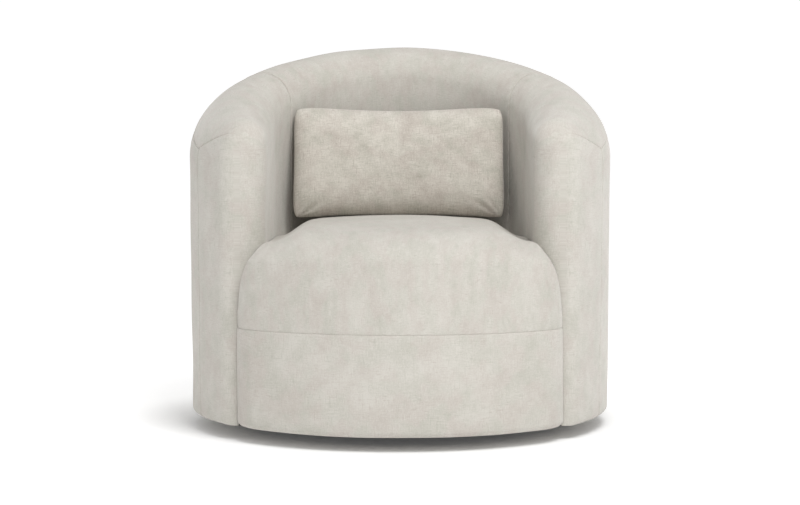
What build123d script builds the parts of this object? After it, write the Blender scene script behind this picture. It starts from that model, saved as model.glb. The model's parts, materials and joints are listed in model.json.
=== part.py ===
from build123d import *
import os
from math import acos, atan2, cos, degrees, hypot, radians, sin, sqrt

# Round upholstered swivel chair: a drum-shaped body with a sloping rolled rim turns on a hidden base.
# Millimetres. The floor is z = 0, the swivel axis is x = y = 0 and the front faces -Y.

# Overall form
drum_radius = 444.5
drum_taper = 4.0
floor_gap = 28.0
seam_height = 223.0
seat_crown = 443.0
rim_back_height = 820.0
rim_arm_height = 628.0
rim_sag = 12.0
hem_roll = 12.0
hem_width = 84.0

# Roll of the rim: a wide outer rounding meets a tighter one over the crest, both set at the back
rim_outer_roll = 140.0
rim_inner_roll = 75.0
arm_end_roll = 48.0

# Arms and inside back
wall_depth = 177.5
arm_front = 278.0
arm_corner = 42.0
arm_flat = 10.0

# Seams between the cover panels
back_seam_angle = 26.5
rim_seam_drop = 80.0
front_seam_y = -238.0
front_seam_turn = 26.0
front_seam_slope = 0.47

# Seat block and apron, before the arms are cut from them
seat_overlap = 58.0
seat_corner = 116.0
seat_setback = 4.0
seat_roll = 84.0
seat_edge = 11.0
seat_sphere = 2200.0
seat_crown_y = -60.0
seat_gap = 2.0
apron_edge = 11.0

# Padding between the cover and the frame
inner_pad = 42.0
front_pad = 60.0
top_pad = 62.0
outer_pad = 38.0

# Cover cloth with the wadding sewn to it, and the space kept between layers
quilt = 8.0
foam_gap = 2.0
cloth = 1.2
layer_gap = 0.3

# Wooden frame
board = 18.0
hoop_wall = 6.0
stud_side = 34.0
stud_count = 8
rail_thickness = 18.0
thin_board = 4.0
post_depth = 56.0
post_width = 36.0
front_post_width = 20.0
front_post_length = 44.0
post_clearance = 2.0
board_corner = 8.0
lightening_bore = 110.0

# Seat springs and deck
spring_count = 4
spring_pitch = 108.0
spring_wire = 3.8
spring_bars = 11
spring_bar = 34.0
spring_side_margin = 32.0
spring_opening_length = 430.0
spring_opening_corner = 30.0
spring_opening_y = -75.0
spring_lap = 16.0
clip_width = 22.0
clip_sheet = 1.5
clip_tail = 12.0
clip_play = 0.1
felt = 5.0

# Back webbing
strap_count = 4
strap_width = 50.0
strap_thickness = 2.0
strap_pitch = 84.0
strap_first = 262.0

# Swivel
glide_count = 6
glide_radius = 19.0
glide_height = 5.0
glide_chamfer = 1.0
glide_circle = 215.0
base_radius = 250.0
base_thickness = 15.0
base_bore = 70.0
base_chamfer = 3.0
plate_side = 254.0
plate_corner = 20.0
plate_thickness = 2.5
plate_hole_pitch = 203.0
ball_count = 24
ball_diameter = 8.0
ball_circle = 180.0
ball_play = 0.1
race_width = 20.0
race_height = 1.5
race_clearance = 0.5
cage_width = 15.0
cage_thickness = 2.0
screw_shank = 5.0
screw_head = 9.0
screw_head_height = 2.2
screw_length = 14.0
bolt_shank = 8.0
bolt_head = 14.0
bolt_head_height = 2.8
tee_flange = 22.0
tee_flange_height = 1.5
pin_diameter = 20.0
pin_flange = 44.0
pin_flange_height = 4.0
pin_end = 2.0
pin_play = 0.05
bush_wall = 3.0
bush_flange = 36.0
bush_flange_height = 2.0
washer_diameter = 40.0
washer_thickness = 2.0
nut_size = 30.0
nut_height = 9.0
dust_sheet = 0.8

# Lumbar pillow
pillow_length = 460.0
pillow_height = 258.0
pillow_thickness = 120.0
pillow_edge = 9.0
pillow_pinch = 5.0
pillow_bow = 50.0
pillow_lean = 15.0
pillow_setback = 159.0

# Widths and places worked out from the sizes above
inner_half = drum_radius - wall_depth
seat_side = inner_half + seat_overlap
pillow_y = inner_half - pillow_setback
spring_opening_width = 2 * (inner_half - spring_side_margin)

# Levels worked out from the sizes above
base_top = glide_height + base_thickness
lower_plate_top = base_top + plate_thickness
ball_centre = lower_plate_top + ball_diameter / 2 + race_clearance
upper_plate_bottom = 2 * ball_centre - lower_plate_top
board_bottom = upper_plate_bottom + plate_thickness
board_top = board_bottom + board
deck_top = seam_height - layer_gap
felt_top = deck_top - cloth - layer_gap
spring_level = felt_top - felt - layer_gap - clip_sheet - spring_wire / 2
frame_top = spring_level - spring_wire / 2 - clip_sheet
frame_bottom = frame_top - board
frame_radius = drum_radius - quilt - outer_pad


def arm_corners(outer, inner, front, corner):
    """Centres and radii of the roundings at the front of the right arm, drawn in by the given amounts."""
    radius = drum_radius - outer
    half = inner_half + inner
    front_y = front - arm_front
    outer_y = front_y + corner
    outer_x = sqrt((radius - corner) ** 2 - outer_y ** 2)
    inner_corner = outer_x - arm_flat - half
    return radius, half, front_y, outer_x, outer_y, inner_corner


def wall_plan(outer, inner, front, corner):
    """Plan of the C-shaped wall, drawn in by the given amounts from the outside, inside and front."""
    radius, half, front_y, outer_x, outer_y, inner_corner = arm_corners(outer, inner, front, corner)
    lean = degrees(atan2(outer_y, outer_x))
    inner_x = half + inner_corner
    inner_y = front_y + inner_corner
    right = [
        CenterArc((outer_x, outer_y), corner, -90, 90 + lean),
        Line((outer_x, front_y), (inner_x, front_y)),
        CenterArc((inner_x, inner_y), inner_corner, 180, 90),
        Line((half, inner_y), (half, 0)),
    ]
    left = [mirror(edge, Plane.YZ) for edge in right]
    back = [
        CenterArc((0, 0), radius, lean, 180 - 2 * lean),
        CenterArc((0, 0), half, 0, 180),
    ]
    return make_face([*right, *left, *back])


def rim_height(y):
    """Height of the crest of the rim, which follows a shallow arc from the arms up to the back."""
    front_y = -arm_front
    back_y = inner_half + rim_inner_roll
    run = back_y - front_y
    rise = rim_back_height - rim_arm_height
    chord = hypot(run, rise)
    radius = (chord ** 2 / 4 + rim_sag ** 2) / (2 * rim_sag)
    reach = (radius - rim_sag) / chord
    centre_y = (front_y + back_y) / 2 - rise * reach
    centre_z = (rim_arm_height + rim_back_height) / 2 + run * reach
    return centre_z - sqrt(radius ** 2 - (y - centre_y) ** 2)


def wall_section(near, far, crest, inset):
    """Upright section of the wall from its inside at near to its outside at far, with a rolled top."""
    share = (far - near) / (drum_radius - inner_half)
    outer_roll = rim_outer_roll * share - inset
    inner_roll = rim_inner_roll * share - inset
    hem = max(hem_roll * min(1, 2 * share) - inset, hem_roll / 6)
    near = near + inset
    far = far - inset
    low = far - drum_taper * share
    top = crest - inset - inner_roll
    bottom = floor_gap + inset
    meet = acos((outer_roll + inner_roll - far + near) / (outer_roll - inner_roll))
    outer_x = near + inner_roll + (inner_roll - outer_roll) * cos(meet)
    outer_z = top + (inner_roll - outer_roll) * sin(meet)
    turn = degrees(meet)
    return make_face([
        Line((near + hem, bottom), (low - hem, bottom)),
        CenterArc((low - hem, bottom + hem), hem, -90, 90),
        Line((low, bottom + hem), (far, outer_z)),
        CenterArc((outer_x, outer_z), outer_roll, 0, turn),
        CenterArc((near + inner_roll, top), inner_roll, turn, 90 - turn),
        CenterArc((near + inner_roll, top), inner_roll, 90, 90),
        Line((near, top), (near, bottom + hem)),
        CenterArc((near + hem, bottom + hem), hem, 180, 90),
    ])


def radial_section(angle, inset):
    """Section of the round back at an angle from +X."""
    way = (cos(radians(angle)), sin(radians(angle)), 0)
    across = (way[1], -way[0], 0)
    crest = rim_height((inner_half + rim_inner_roll) * way[1])
    return Plane((0, 0, 0), way, across) * wall_section(inner_half, drum_radius, crest, inset)


def arm_section(y, drop, inset):
    """Section of the right arm square to Y, with its crest lowered by drop."""
    radius, half, front_y, outer_x, outer_y, inner_corner = arm_corners(0, 0, 0, arm_corner)
    near = half
    if y < front_y + inner_corner:
        near += inner_corner - sqrt(inner_corner ** 2 - (y - front_y - inner_corner) ** 2)
    far = sqrt(radius ** 2 - y ** 2)
    if y < outer_y * radius / (radius - arm_corner):
        far = outer_x + sqrt(arm_corner ** 2 - (y - outer_y) ** 2)
    crest = rim_height(y) - drop
    return Plane((0, y, 0), (1, 0, 0), (0, -1, 0)) * wall_section(near, far, crest, inset)


def back_form(inset):
    """Padded back between the two seams that join it to the arms."""
    steps = 8
    spread = (180 - 2 * back_seam_angle) / steps
    return loft([radial_section(back_seam_angle + spread * i, inset) for i in range(steps + 1)])


def arm_bend():
    """Where the straight inside of the arm starts to turn round its front end."""
    inner_corner = arm_corners(0, 0, 0, arm_corner)[5]
    return inner_corner, inner_corner - arm_front


def arm_side_form(inset):
    """Right arm from its seam at the back to where its front end starts to round off."""
    bend = arm_bend()[1]
    steps = 5
    sections = [radial_section(back_seam_angle * (steps - i) / steps, inset) for i in range(steps)]
    sections += [arm_section(bend * i / steps, 0, inset) for i in range(steps + 1)]
    return loft(sections)


def arm_end_form(inset):
    """Rounded front end of the right arm."""
    inner_corner, bend = arm_bend()
    sections = []
    for angle in (0, 20, 38, 54, 68, 80):
        y = bend - (inner_corner - inset) * sin(radians(angle))
        drop = (arm_end_roll - inset) * (1 - cos(radians(angle)))
        sections.append(arm_section(y, drop, inset))
    return loft(sections)


def block_plan(inset):
    """Plan of the seat block: round front, rounded front corners, straight sides and round back."""
    front = drum_radius - inset
    reach = drum_radius - seat_corner
    corner_x = seat_side - seat_corner
    corner_y = -sqrt(reach ** 2 - corner_x ** 2)
    turn = degrees(atan2(corner_y, corner_x))
    corner = seat_corner - inset
    side = seat_side - inset
    right = [
        CenterArc((corner_x, corner_y), corner, turn, -turn),
        Line((side, corner_y), (side, 0)),
    ]
    left = [mirror(edge, Plane.YZ) for edge in right]
    ends = [
        CenterArc((0, 0), front, -180 - turn, 180 + 2 * turn),
        CenterArc((0, 0), side, 0, 180),
    ]
    return make_face([*right, *left, *ends])


def wall_room(gap):
    """Upright block that holds the walls with a gap all round, for cutting what lies between them."""
    plan = wall_plan(-gap, -gap, -gap, arm_corner + gap)
    return extrude(plan, 2 * rim_back_height)


def seat_form(inset):
    """Crowned seat with a rolled top edge, cut to fit between and in front of the arms."""
    bottom = seam_height + layer_gap / 2 + inset
    block = extrude(Pos(0, 0, bottom) * block_plan(seat_setback + inset), seat_crown)
    dome = Sphere(seat_sphere - inset, rotation=(90, 0, 0))
    block = block & (Pos(0, seat_crown_y, seat_crown - seat_sphere) * dome)
    top = block.faces().filter_by(GeomType.SPHERE)[0]
    block = fillet(top.edges(), seat_roll - inset)
    foot = block.faces().sort_by(Axis.Z)[0]
    block = fillet(foot.edges(), seat_edge - inset)
    return block - wall_room(seat_gap + inset)


def apron_form(inset):
    """Rounded front below the seat, cut to fit in front of the arms."""
    bottom = floor_gap + inset
    top = seam_height - layer_gap / 2 - inset
    block = extrude(Pos(0, 0, bottom) * block_plan(inset), top - bottom)
    block = fillet(block.faces().sort_by(Axis.Z)[-1].edges(), apron_edge - inset)
    block = fillet(block.faces().sort_by(Axis.Z)[0].edges(), hem_roll - inset)
    return block - wall_room(seat_gap + inset)


def disc(radius, bottom, top):
    """Upright round block between two levels."""
    return Pos(0, 0, bottom) * extrude(Circle(radius), top - bottom)


def ring(outer, inner, bottom, top):
    """Upright ring between two levels."""
    return disc(outer, bottom, top) - disc(inner, bottom, top)


def at_angle(angle, radius):
    """Place at an angle from +X and a radius, turned to face outwards."""
    return Rot(0, 0, angle) * Pos(radius, 0, 0)


def drum_room(top):
    """Space of the round lower frame and of the opening under it, for cutting the padding."""
    drum = disc(frame_radius + layer_gap, board_bottom - layer_gap, top)
    return drum + disc(drum_radius - hem_width, 0, board_bottom)


def sloping_plane(drop):
    """Sloping plane of the top rail, lowered by drop."""
    front_y = front_pad - arm_front
    front_z = rim_height(front_y) - top_pad
    slope = atan2(rim_back_height - top_pad - front_z, frame_radius - front_y)
    return Plane((0, front_y, front_z - drop), (1, 0, 0), (0, -sin(slope), cos(slope)))


def core_plan(gap):
    """Plan of the wooden core of the walls, less a gap all round."""
    outer = drum_radius - frame_radius + gap
    return wall_plan(outer, inner_pad + gap, front_pad + gap, board_corner)


def below(shape, drop):
    """The part of a shape under the sloping plane."""
    return split(shape, bisect_by=sloping_plane(drop), keep=Keep.BOTTOM)


def wall_core():
    """Space for the upper frame inside the padding."""
    block = extrude(Pos(0, 0, board_top) * core_plan(-layer_gap), rim_back_height)
    return below(block, -layer_gap)


def padding(form):
    """Foam of one wall piece, hollow where the frame stands."""
    foam = form(quilt + foam_gap)
    return foam - wall_core() - drum_room(frame_top + layer_gap)


def cover(form):
    """Cloth over one wall piece."""
    return form(0) - form(quilt) - drum_room(frame_top + layer_gap)


def largest(shape):
    """The largest solid of a shape, without the slivers that a cut leaves."""
    return shape.solids().sort_by(SortBy.VOLUME)[-1]


def rim_seam_plane():
    """Plane of the seam that runs round the outside below the rim."""
    front_z = rim_arm_height - rim_seam_drop
    slope = atan2(rim_back_height - rim_arm_height, arm_front + drum_radius)
    return Plane((0, -arm_front, front_z), (1, 0, 0), (0, -sin(slope), cos(slope)))


def outside_zone():
    """Space of the outside panels: outside the middle of the wall and below the rim seam."""
    shell = ring(2 * drum_radius, drum_radius - hem_width, 0, 2 * rim_back_height)
    return split(shell, bisect_by=rim_seam_plane(), keep=Keep.BOTTOM)


def front_zone():
    """Space of the right arm's front panel: ahead of an upright seam and under an arched one."""
    turn = radians(front_seam_turn)
    ahead = (sin(turn), -cos(turn), 0)
    across = (-cos(turn), -sin(turn), 0)
    reach = arm_front
    slope = (rim_back_height - rim_arm_height) / (arm_front + drum_radius)
    outer_y = front_seam_y + (drum_radius - inner_half) * sin(turn)
    corner_z = rim_arm_height - rim_seam_drop + slope * (arm_front + outer_y)
    tip_z = corner_z + front_seam_slope * reach
    outline = Polyline((0, 0), (0, corner_z), (reach, tip_z), (reach, 0), close=True)
    plane = Plane((inner_half, front_seam_y, 0), ahead, across)
    return extrude(plane * make_face(outline), drum_radius, both=True)


def wall_pieces():
    """Foam and cover panels of the back and of both arms."""
    outside = outside_zone()
    front = front_zone()
    back = cover(back_form)
    side = cover(arm_side_form)
    end = cover(arm_end_form)
    right = {
        "arm_pad": padding(arm_side_form) + padding(arm_end_form),
        "front_cover": (side & front) + (end & front),
        "outside_cover": (side - front) & outside,
        "arm_cover": largest((side - front - outside) + (end - front)),
    }
    pieces = {
        "back_pad": padding(back_form),
        "outside_back_cover": back & outside,
        "inside_back_cover": back - outside,
    }
    for name, shape in right.items():
        pieces["right_" + name] = shape
        pieces["left_" + name] = mirror(shape, Plane.YZ)
    return pieces


def seat_pieces():
    """Seat and apron: foam and cover of each."""
    drum = drum_room(seam_height)
    return {
        "seat_foam": seat_form(quilt + layer_gap),
        "seat_cover": seat_form(0) - seat_form(quilt),
        "apron_pad": apron_form(quilt + layer_gap) - drum,
        "apron_cover": apron_form(0) - apron_form(quilt) - drum,
    }


def plate_corners():
    """The four fixing points of a swivel plate."""
    return GridLocations(plate_hole_pitch, plate_hole_pitch, 2, 2)


def bottom_board():
    """Round board that carries the chair on the upper swivel plate."""
    plate = disc(frame_radius, board_bottom, board_top)
    plate -= disc(base_bore / 2, board_bottom, board_top)
    for place in plate_corners():
        plate -= place * disc(bolt_shank / 2, board_bottom, board_top)
    middle = (base_bore / 2 + frame_radius) / 2 + lightening_bore / 4
    for i in range(4):
        plate -= at_angle(90 * i, middle) * disc(lightening_bore / 2, board_bottom, board_top)
    return plate


def seat_frame():
    """Round board with the opening that the springs cross."""
    plate = disc(frame_radius, frame_bottom, frame_top)
    opening = RectangleRounded(spring_opening_width, spring_opening_length, spring_opening_corner)
    return plate - extrude(Pos(0, spring_opening_y, frame_bottom) * opening, board)


def drum_studs():
    """Upright studs between the two round boards."""
    stud = Pos(0, 0, board_top) * extrude(Rectangle(stud_side, stud_side), frame_bottom - board_top)
    middle = frame_radius - hoop_wall - layer_gap - hypot(stud_side, stud_side) / 2
    turn = 360 / stud_count
    return Compound([at_angle(turn * (i + 0.5), middle) * stud for i in range(stud_count)])


def post(depth, width):
    """Post from the seat frame up to the underside of the top rail, before it is placed."""
    return Pos(0, 0, frame_top) * extrude(Rectangle(depth, width), rim_back_height)


def upper_frame():
    """Posts, top rail and boards inside the walls."""
    inner = inner_half + inner_pad + thin_board + 2 * layer_gap
    clear_radius = frame_radius - thin_board - post_clearance
    clear_y = -sqrt(clear_radius ** 2 - (inner + front_post_width) ** 2)
    front_y = max(front_pad - arm_front + board_corner + thin_board, clear_y) + front_post_length / 2
    front_post = Pos(inner + front_post_width / 2, front_y, 0) * post(front_post_width, front_post_length)
    front_post = below(front_post, rail_thickness)
    middle = inner + post_depth / 2
    side_post = below(at_angle(0, middle) * post(post_depth, post_width), rail_thickness)
    back_posts = [below(at_angle(a, middle) * post(post_depth, post_width), rail_thickness) for a in (45, 90, 135)]
    core = extrude(Pos(0, 0, frame_top) * core_plan(0), rim_back_height)
    rail = below(core, 0) - below(core, rail_thickness)
    hollow = below(core, rail_thickness)
    outer = hollow & ring(frame_radius, frame_radius - thin_board, 0, 2 * rim_back_height)
    arm_inner = inner_half + inner_pad + layer_gap
    arm_length = arm_front - front_pad - board_corner - front_post_width
    arm_board = Pos(arm_inner + thin_board / 2, -arm_length / 2, frame_top)
    arm_board *= extrude(Rectangle(thin_board, arm_length), rim_back_height)
    arm_board = below(arm_board, rail_thickness)
    return {
        "right_front_post": front_post,
        "left_front_post": mirror(front_post, Plane.YZ),
        "side_posts": Compound([side_post, mirror(side_post, Plane.YZ)]),
        "back_posts": Compound(back_posts),
        "top_rail": rail,
        "outer_board": outer,
        "right_arm_board": arm_board,
        "left_arm_board": mirror(arm_board, Plane.YZ),
    }


def back_webbing():
    """Elastic straps stretched round the inside of the back posts."""
    inner = inner_half + inner_pad + layer_gap
    sweep_angle = 180 - 2 * back_seam_angle
    outer_arc = CenterArc((0, 0), inner + strap_thickness, back_seam_angle, sweep_angle)
    inner_arc = CenterArc((0, 0), inner, back_seam_angle, sweep_angle)
    ends = [Line(inner_arc @ 0, outer_arc @ 0), Line(inner_arc @ 1, outer_arc @ 1)]
    strap = extrude(make_face([outer_arc, inner_arc, *ends]), strap_width)
    return Compound([Pos(0, 0, strap_first + strap_pitch * i) * strap for i in range(strap_count)])


def spring_row():
    """Where each spring stands across the seat."""
    return [spring_pitch * (i - (spring_count - 1) / 2) for i in range(spring_count)]


def spring_ends():
    """Front and back ends of the springs, on the edges of the opening."""
    reach = spring_opening_length / 2 + spring_lap
    return spring_opening_y - reach, spring_opening_y + reach


def seat_springs():
    """Sinuous wire springs that run from the front to the back of the seat frame."""
    front, back = spring_ends()
    pitch = (back - front) / (spring_bars - 1)
    path = []
    for i in range(spring_bars):
        y = front + pitch * i
        side = 1 if i % 2 == 0 else -1
        start = (-side * spring_bar / 2, y, spring_level)
        end = (side * spring_bar / 2, y, spring_level)
        path.append(Line(start, end))
        if i < spring_bars - 1:
            bend = (side * (spring_bar + pitch) / 2, y + pitch / 2, spring_level)
            path.append(ThreePointArc(end, bend, (end[0], y + pitch, spring_level)))
    wire = Wire(path)
    profile = Plane(path[0] @ 0, (0, 1, 0), (1, 0, 0)) * Circle(spring_wire / 2)
    spring = sweep(profile, path=wire)
    return Compound([Pos(x, 0, 0) * spring for x in spring_row()])


def spring_clips():
    """Bent steel clips that hold the spring ends down on the seat frame."""
    bore = spring_wire / 2 + clip_play
    outer = spring_wire / 2 + clip_sheet
    base = Pos(clip_tail / 2, -spring_wire / 2 - clip_sheet / 2) * Rectangle(clip_tail, clip_sheet)
    lid = Pos(clip_tail / 2, spring_wire / 2 + clip_sheet / 2) * Rectangle(clip_tail, clip_sheet)
    curl = Circle(outer) - Circle(bore) - Pos(outer, 0) * Rectangle(2 * outer, 4 * outer)
    profile = base + lid + curl
    clip = extrude(Plane.YZ * profile, clip_width / 2, both=True)
    front, back = spring_ends()
    clips = []
    for x in spring_row():
        clips.append(Pos(x, front, spring_level) * clip)
        clips.append(Pos(x, back, spring_level) * Rot(0, 0, 180) * clip)
    return Compound(clips)


def deck_layer(bottom, top):
    """Sheet over the springs, inside the padding."""
    edge = drum_radius - frame_radius + layer_gap
    sheet = extrude(Pos(0, 0, bottom) * block_plan(edge), top - bottom)
    return sheet - wall_room(seat_gap)


def swivel_plate(bottom, race_bottom, hole, bore):
    """Square swivel plate with a raised ring that holds half of the ball race."""
    plate = extrude(RectangleRounded(plate_side, plate_side, plate_corner), plate_thickness)
    plate = Pos(0, 0, bottom) * plate
    plate += ring((ball_circle + race_width) / 2, (ball_circle - race_width) / 2, race_bottom, race_bottom + race_height)
    plate -= Pos(0, 0, ball_centre) * Torus(ball_circle / 2, ball_diameter / 2 + ball_play)
    plate -= disc(bore / 2, 0, board_top)
    for place in plate_corners():
        plate -= place * disc(hole / 2, 0, board_top)
    return plate


def swivel_base():
    """Base board, glides and the still half of the swivel."""
    base = disc(base_radius, glide_height, base_top) - disc(base_bore / 2, glide_height, base_top)
    base = chamfer(base.faces().sort_by(Axis.Z)[-1].edges().sort_by(SortBy.LENGTH)[-1], base_chamfer)
    screws = []
    for place in plate_corners():
        base -= place * disc(screw_shank / 2, base_top - screw_length, base_top)
        shank = disc(screw_shank / 2, base_top - screw_length + layer_gap, lower_plate_top)
        head = disc(screw_head / 2, lower_plate_top, lower_plate_top + screw_head_height)
        screws.append(place * (shank + head))
    glide = disc(glide_radius, 0, glide_height)
    glide = chamfer(glide.faces().sort_by(Axis.Z)[0].edges(), glide_chamfer)
    turn = 360 / glide_count
    bush_top = board_bottom + bush_flange_height
    washer_bottom = bush_top + 2 * ball_play
    nut_bottom = washer_bottom + washer_thickness
    pin = disc(pin_diameter / 2, base_top, nut_bottom + nut_height + pin_end)
    pin += disc(pin_flange / 2, base_top - pin_flange_height, base_top)
    washer = ring(washer_diameter / 2, pin_diameter / 2, washer_bottom, nut_bottom)
    nut = extrude(Pos(0, 0, nut_bottom) * RegularPolygon(nut_size / 2, 6, major_radius=False), nut_height)
    nut -= disc(pin_diameter / 2, 0, seam_height)
    return {
        "base_disc": base,
        "glides": Compound([at_angle(turn * i, glide_circle) * glide for i in range(glide_count)]),
        "lower_plate": swivel_plate(base_top, lower_plate_top, screw_shank, pin_diameter),
        "lower_plate_screws": Compound(screws),
        "pivot_pin": pin,
        "pivot_washer": washer,
        "pivot_nut": nut,
    }


def swivel_bearing():
    """Balls and the cage that spaces them."""
    half = cage_thickness / 2
    outer = (ball_circle + cage_width) / 2
    cage = ring(outer, outer - cage_width, ball_centre - half, ball_centre + half)
    turn = 360 / ball_count
    pocket = disc(ball_diameter / 2 + ball_play, 0, board_bottom)
    ball = Pos(0, 0, ball_centre) * Sphere(ball_diameter / 2)
    for i in range(ball_count):
        cage -= at_angle(turn * i, ball_circle / 2) * pocket
    balls = Compound([at_angle(turn * i, ball_circle / 2) * ball for i in range(ball_count)])
    return {"ball_cage": cage, "bearing_balls": balls}


def swivel_top():
    """Turning half of the swivel and its fixings."""
    bush_outer = pin_diameter / 2 + pin_play + bush_wall
    bush = disc(bush_outer, upper_plate_bottom, board_bottom)
    bush += disc(bush_flange / 2, board_bottom, board_bottom + bush_flange_height)
    bush -= disc(pin_diameter / 2 + pin_play, 0, board_top)
    head_bottom = upper_plate_bottom - bolt_head_height
    bolt = disc(bolt_shank / 2, upper_plate_bottom, board_top + tee_flange_height)
    bolt += disc(bolt_head / 2, head_bottom, upper_plate_bottom)
    tee = ring(tee_flange / 2, bolt_shank / 2, board_top, board_top + tee_flange_height)
    race_bottom = upper_plate_bottom - race_height
    return {
        "upper_plate": swivel_plate(upper_plate_bottom, race_bottom, bolt_shank, 2 * bush_outer),
        "pivot_bush": bush,
        "upper_plate_bolts": Compound([place * bolt for place in plate_corners()]),
        "tee_nuts": Compound([place * tee for place in plate_corners()]),
    }


def dust_cover():
    """Thin cloth under the frame, from the hem in to the swivel plate."""
    inner = hypot(plate_side, plate_side) / 2
    top = board_bottom - layer_gap
    return ring(drum_radius - hem_width - layer_gap, inner, top - dust_sheet, top)


def seat_level(y):
    """Height of the crown of the seat on its middle line."""
    return seat_crown - seat_sphere + sqrt(seat_sphere ** 2 - (y - seat_crown_y) ** 2)


def pillow_form(inset):
    """Pillow with a thin sewn edge, a crown on both faces and a bow that follows the back."""
    half_length = pillow_length / 2 - inset
    sections = []
    for share in (-1, -0.92, -0.75, -0.45, 0, 0.45, 0.75, 0.92, 1):
        swell = sqrt(1 - abs(share) ** 3)
        half = pillow_height / 2 - pillow_pinch * (1 - share ** 2) - inset
        bulge = pillow_edge / 2 + (pillow_thickness - pillow_edge) / 2 * swell - inset
        front = ThreePointArc((0, -half), (-bulge, 0), (0, half))
        back = ThreePointArc((0, half), (bulge, 0), (0, -half))
        lens = Pos(0, pillow_height / 2 - pillow_pinch) * make_face([front, back])
        upright = Plane((0, 0, 0), (0, 1, 0), (1, 0, 0)) * lens
        place = Pos(share * half_length, pillow_y - pillow_bow * share ** 2, seat_level(pillow_y) + layer_gap)
        sections.append(place * Rot(-pillow_lean, 0, 0) * upright)
    return loft(sections)


def pillow():
    """Pillow cover and its filling."""
    return {
        "pillow_filling": pillow_form(cloth + foam_gap),
        "pillow_cover": pillow_form(0) - pillow_form(cloth),
    }


def chair():
    """Every piece of the chair by name."""
    return {
        **swivel_base(),
        **swivel_bearing(),
        **swivel_top(),
        "bottom_board": bottom_board(),
        "drum_hoop": ring(frame_radius, frame_radius - hoop_wall, board_top, frame_bottom),
        "drum_studs": drum_studs(),
        "seat_frame": seat_frame(),
        **upper_frame(),
        "back_webbing": back_webbing(),
        "seat_springs": seat_springs(),
        "spring_clips": spring_clips(),
        "insulator_pad": deck_layer(felt_top - felt, felt_top),
        "deck_cloth": deck_layer(deck_top - cloth, deck_top),
        **seat_pieces(),
        **wall_pieces(),
        "dust_cover": dust_cover(),
        **pillow(),
    }


os.makedirs("parts", exist_ok=True)
for name, shape in chair().items():
    export_step(shape, f"parts/{name}.step")
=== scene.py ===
"""Looks of the round upholstered swivel chair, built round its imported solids."""

import json
from math import acos, asin, atan2, cos, hypot, pi, radians, sin, sqrt

import bmesh
import bpy
import numpy as np
from bpy.props import FloatProperty, FloatVectorProperty, IntProperty, PointerProperty
from mathutils import Matrix, Vector


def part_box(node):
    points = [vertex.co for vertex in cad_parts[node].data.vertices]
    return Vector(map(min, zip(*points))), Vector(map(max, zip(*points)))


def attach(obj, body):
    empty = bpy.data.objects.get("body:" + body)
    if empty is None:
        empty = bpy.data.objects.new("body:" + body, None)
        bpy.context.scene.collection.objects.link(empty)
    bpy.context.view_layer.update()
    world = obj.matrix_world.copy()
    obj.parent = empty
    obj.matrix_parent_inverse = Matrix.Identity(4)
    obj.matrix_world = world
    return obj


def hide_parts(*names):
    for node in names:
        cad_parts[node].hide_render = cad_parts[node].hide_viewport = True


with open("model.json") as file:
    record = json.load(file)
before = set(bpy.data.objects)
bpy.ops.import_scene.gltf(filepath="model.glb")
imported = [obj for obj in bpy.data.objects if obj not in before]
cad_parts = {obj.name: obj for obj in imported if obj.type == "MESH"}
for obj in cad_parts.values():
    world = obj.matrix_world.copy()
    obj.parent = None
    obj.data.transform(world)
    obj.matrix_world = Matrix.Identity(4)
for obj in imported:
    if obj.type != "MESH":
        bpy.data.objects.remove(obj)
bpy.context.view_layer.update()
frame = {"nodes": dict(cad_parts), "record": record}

bl_info = {
    "name": "Round swivel chair",
    "version": (1, 0, 0),
    "blender": (4, 5, 0),
    "location": "View3D > Sidebar > Chair",
    "description": "Upholstery, stitching and finishes of a round swivel chair",
    "category": "Object",
}


# Settings

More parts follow.
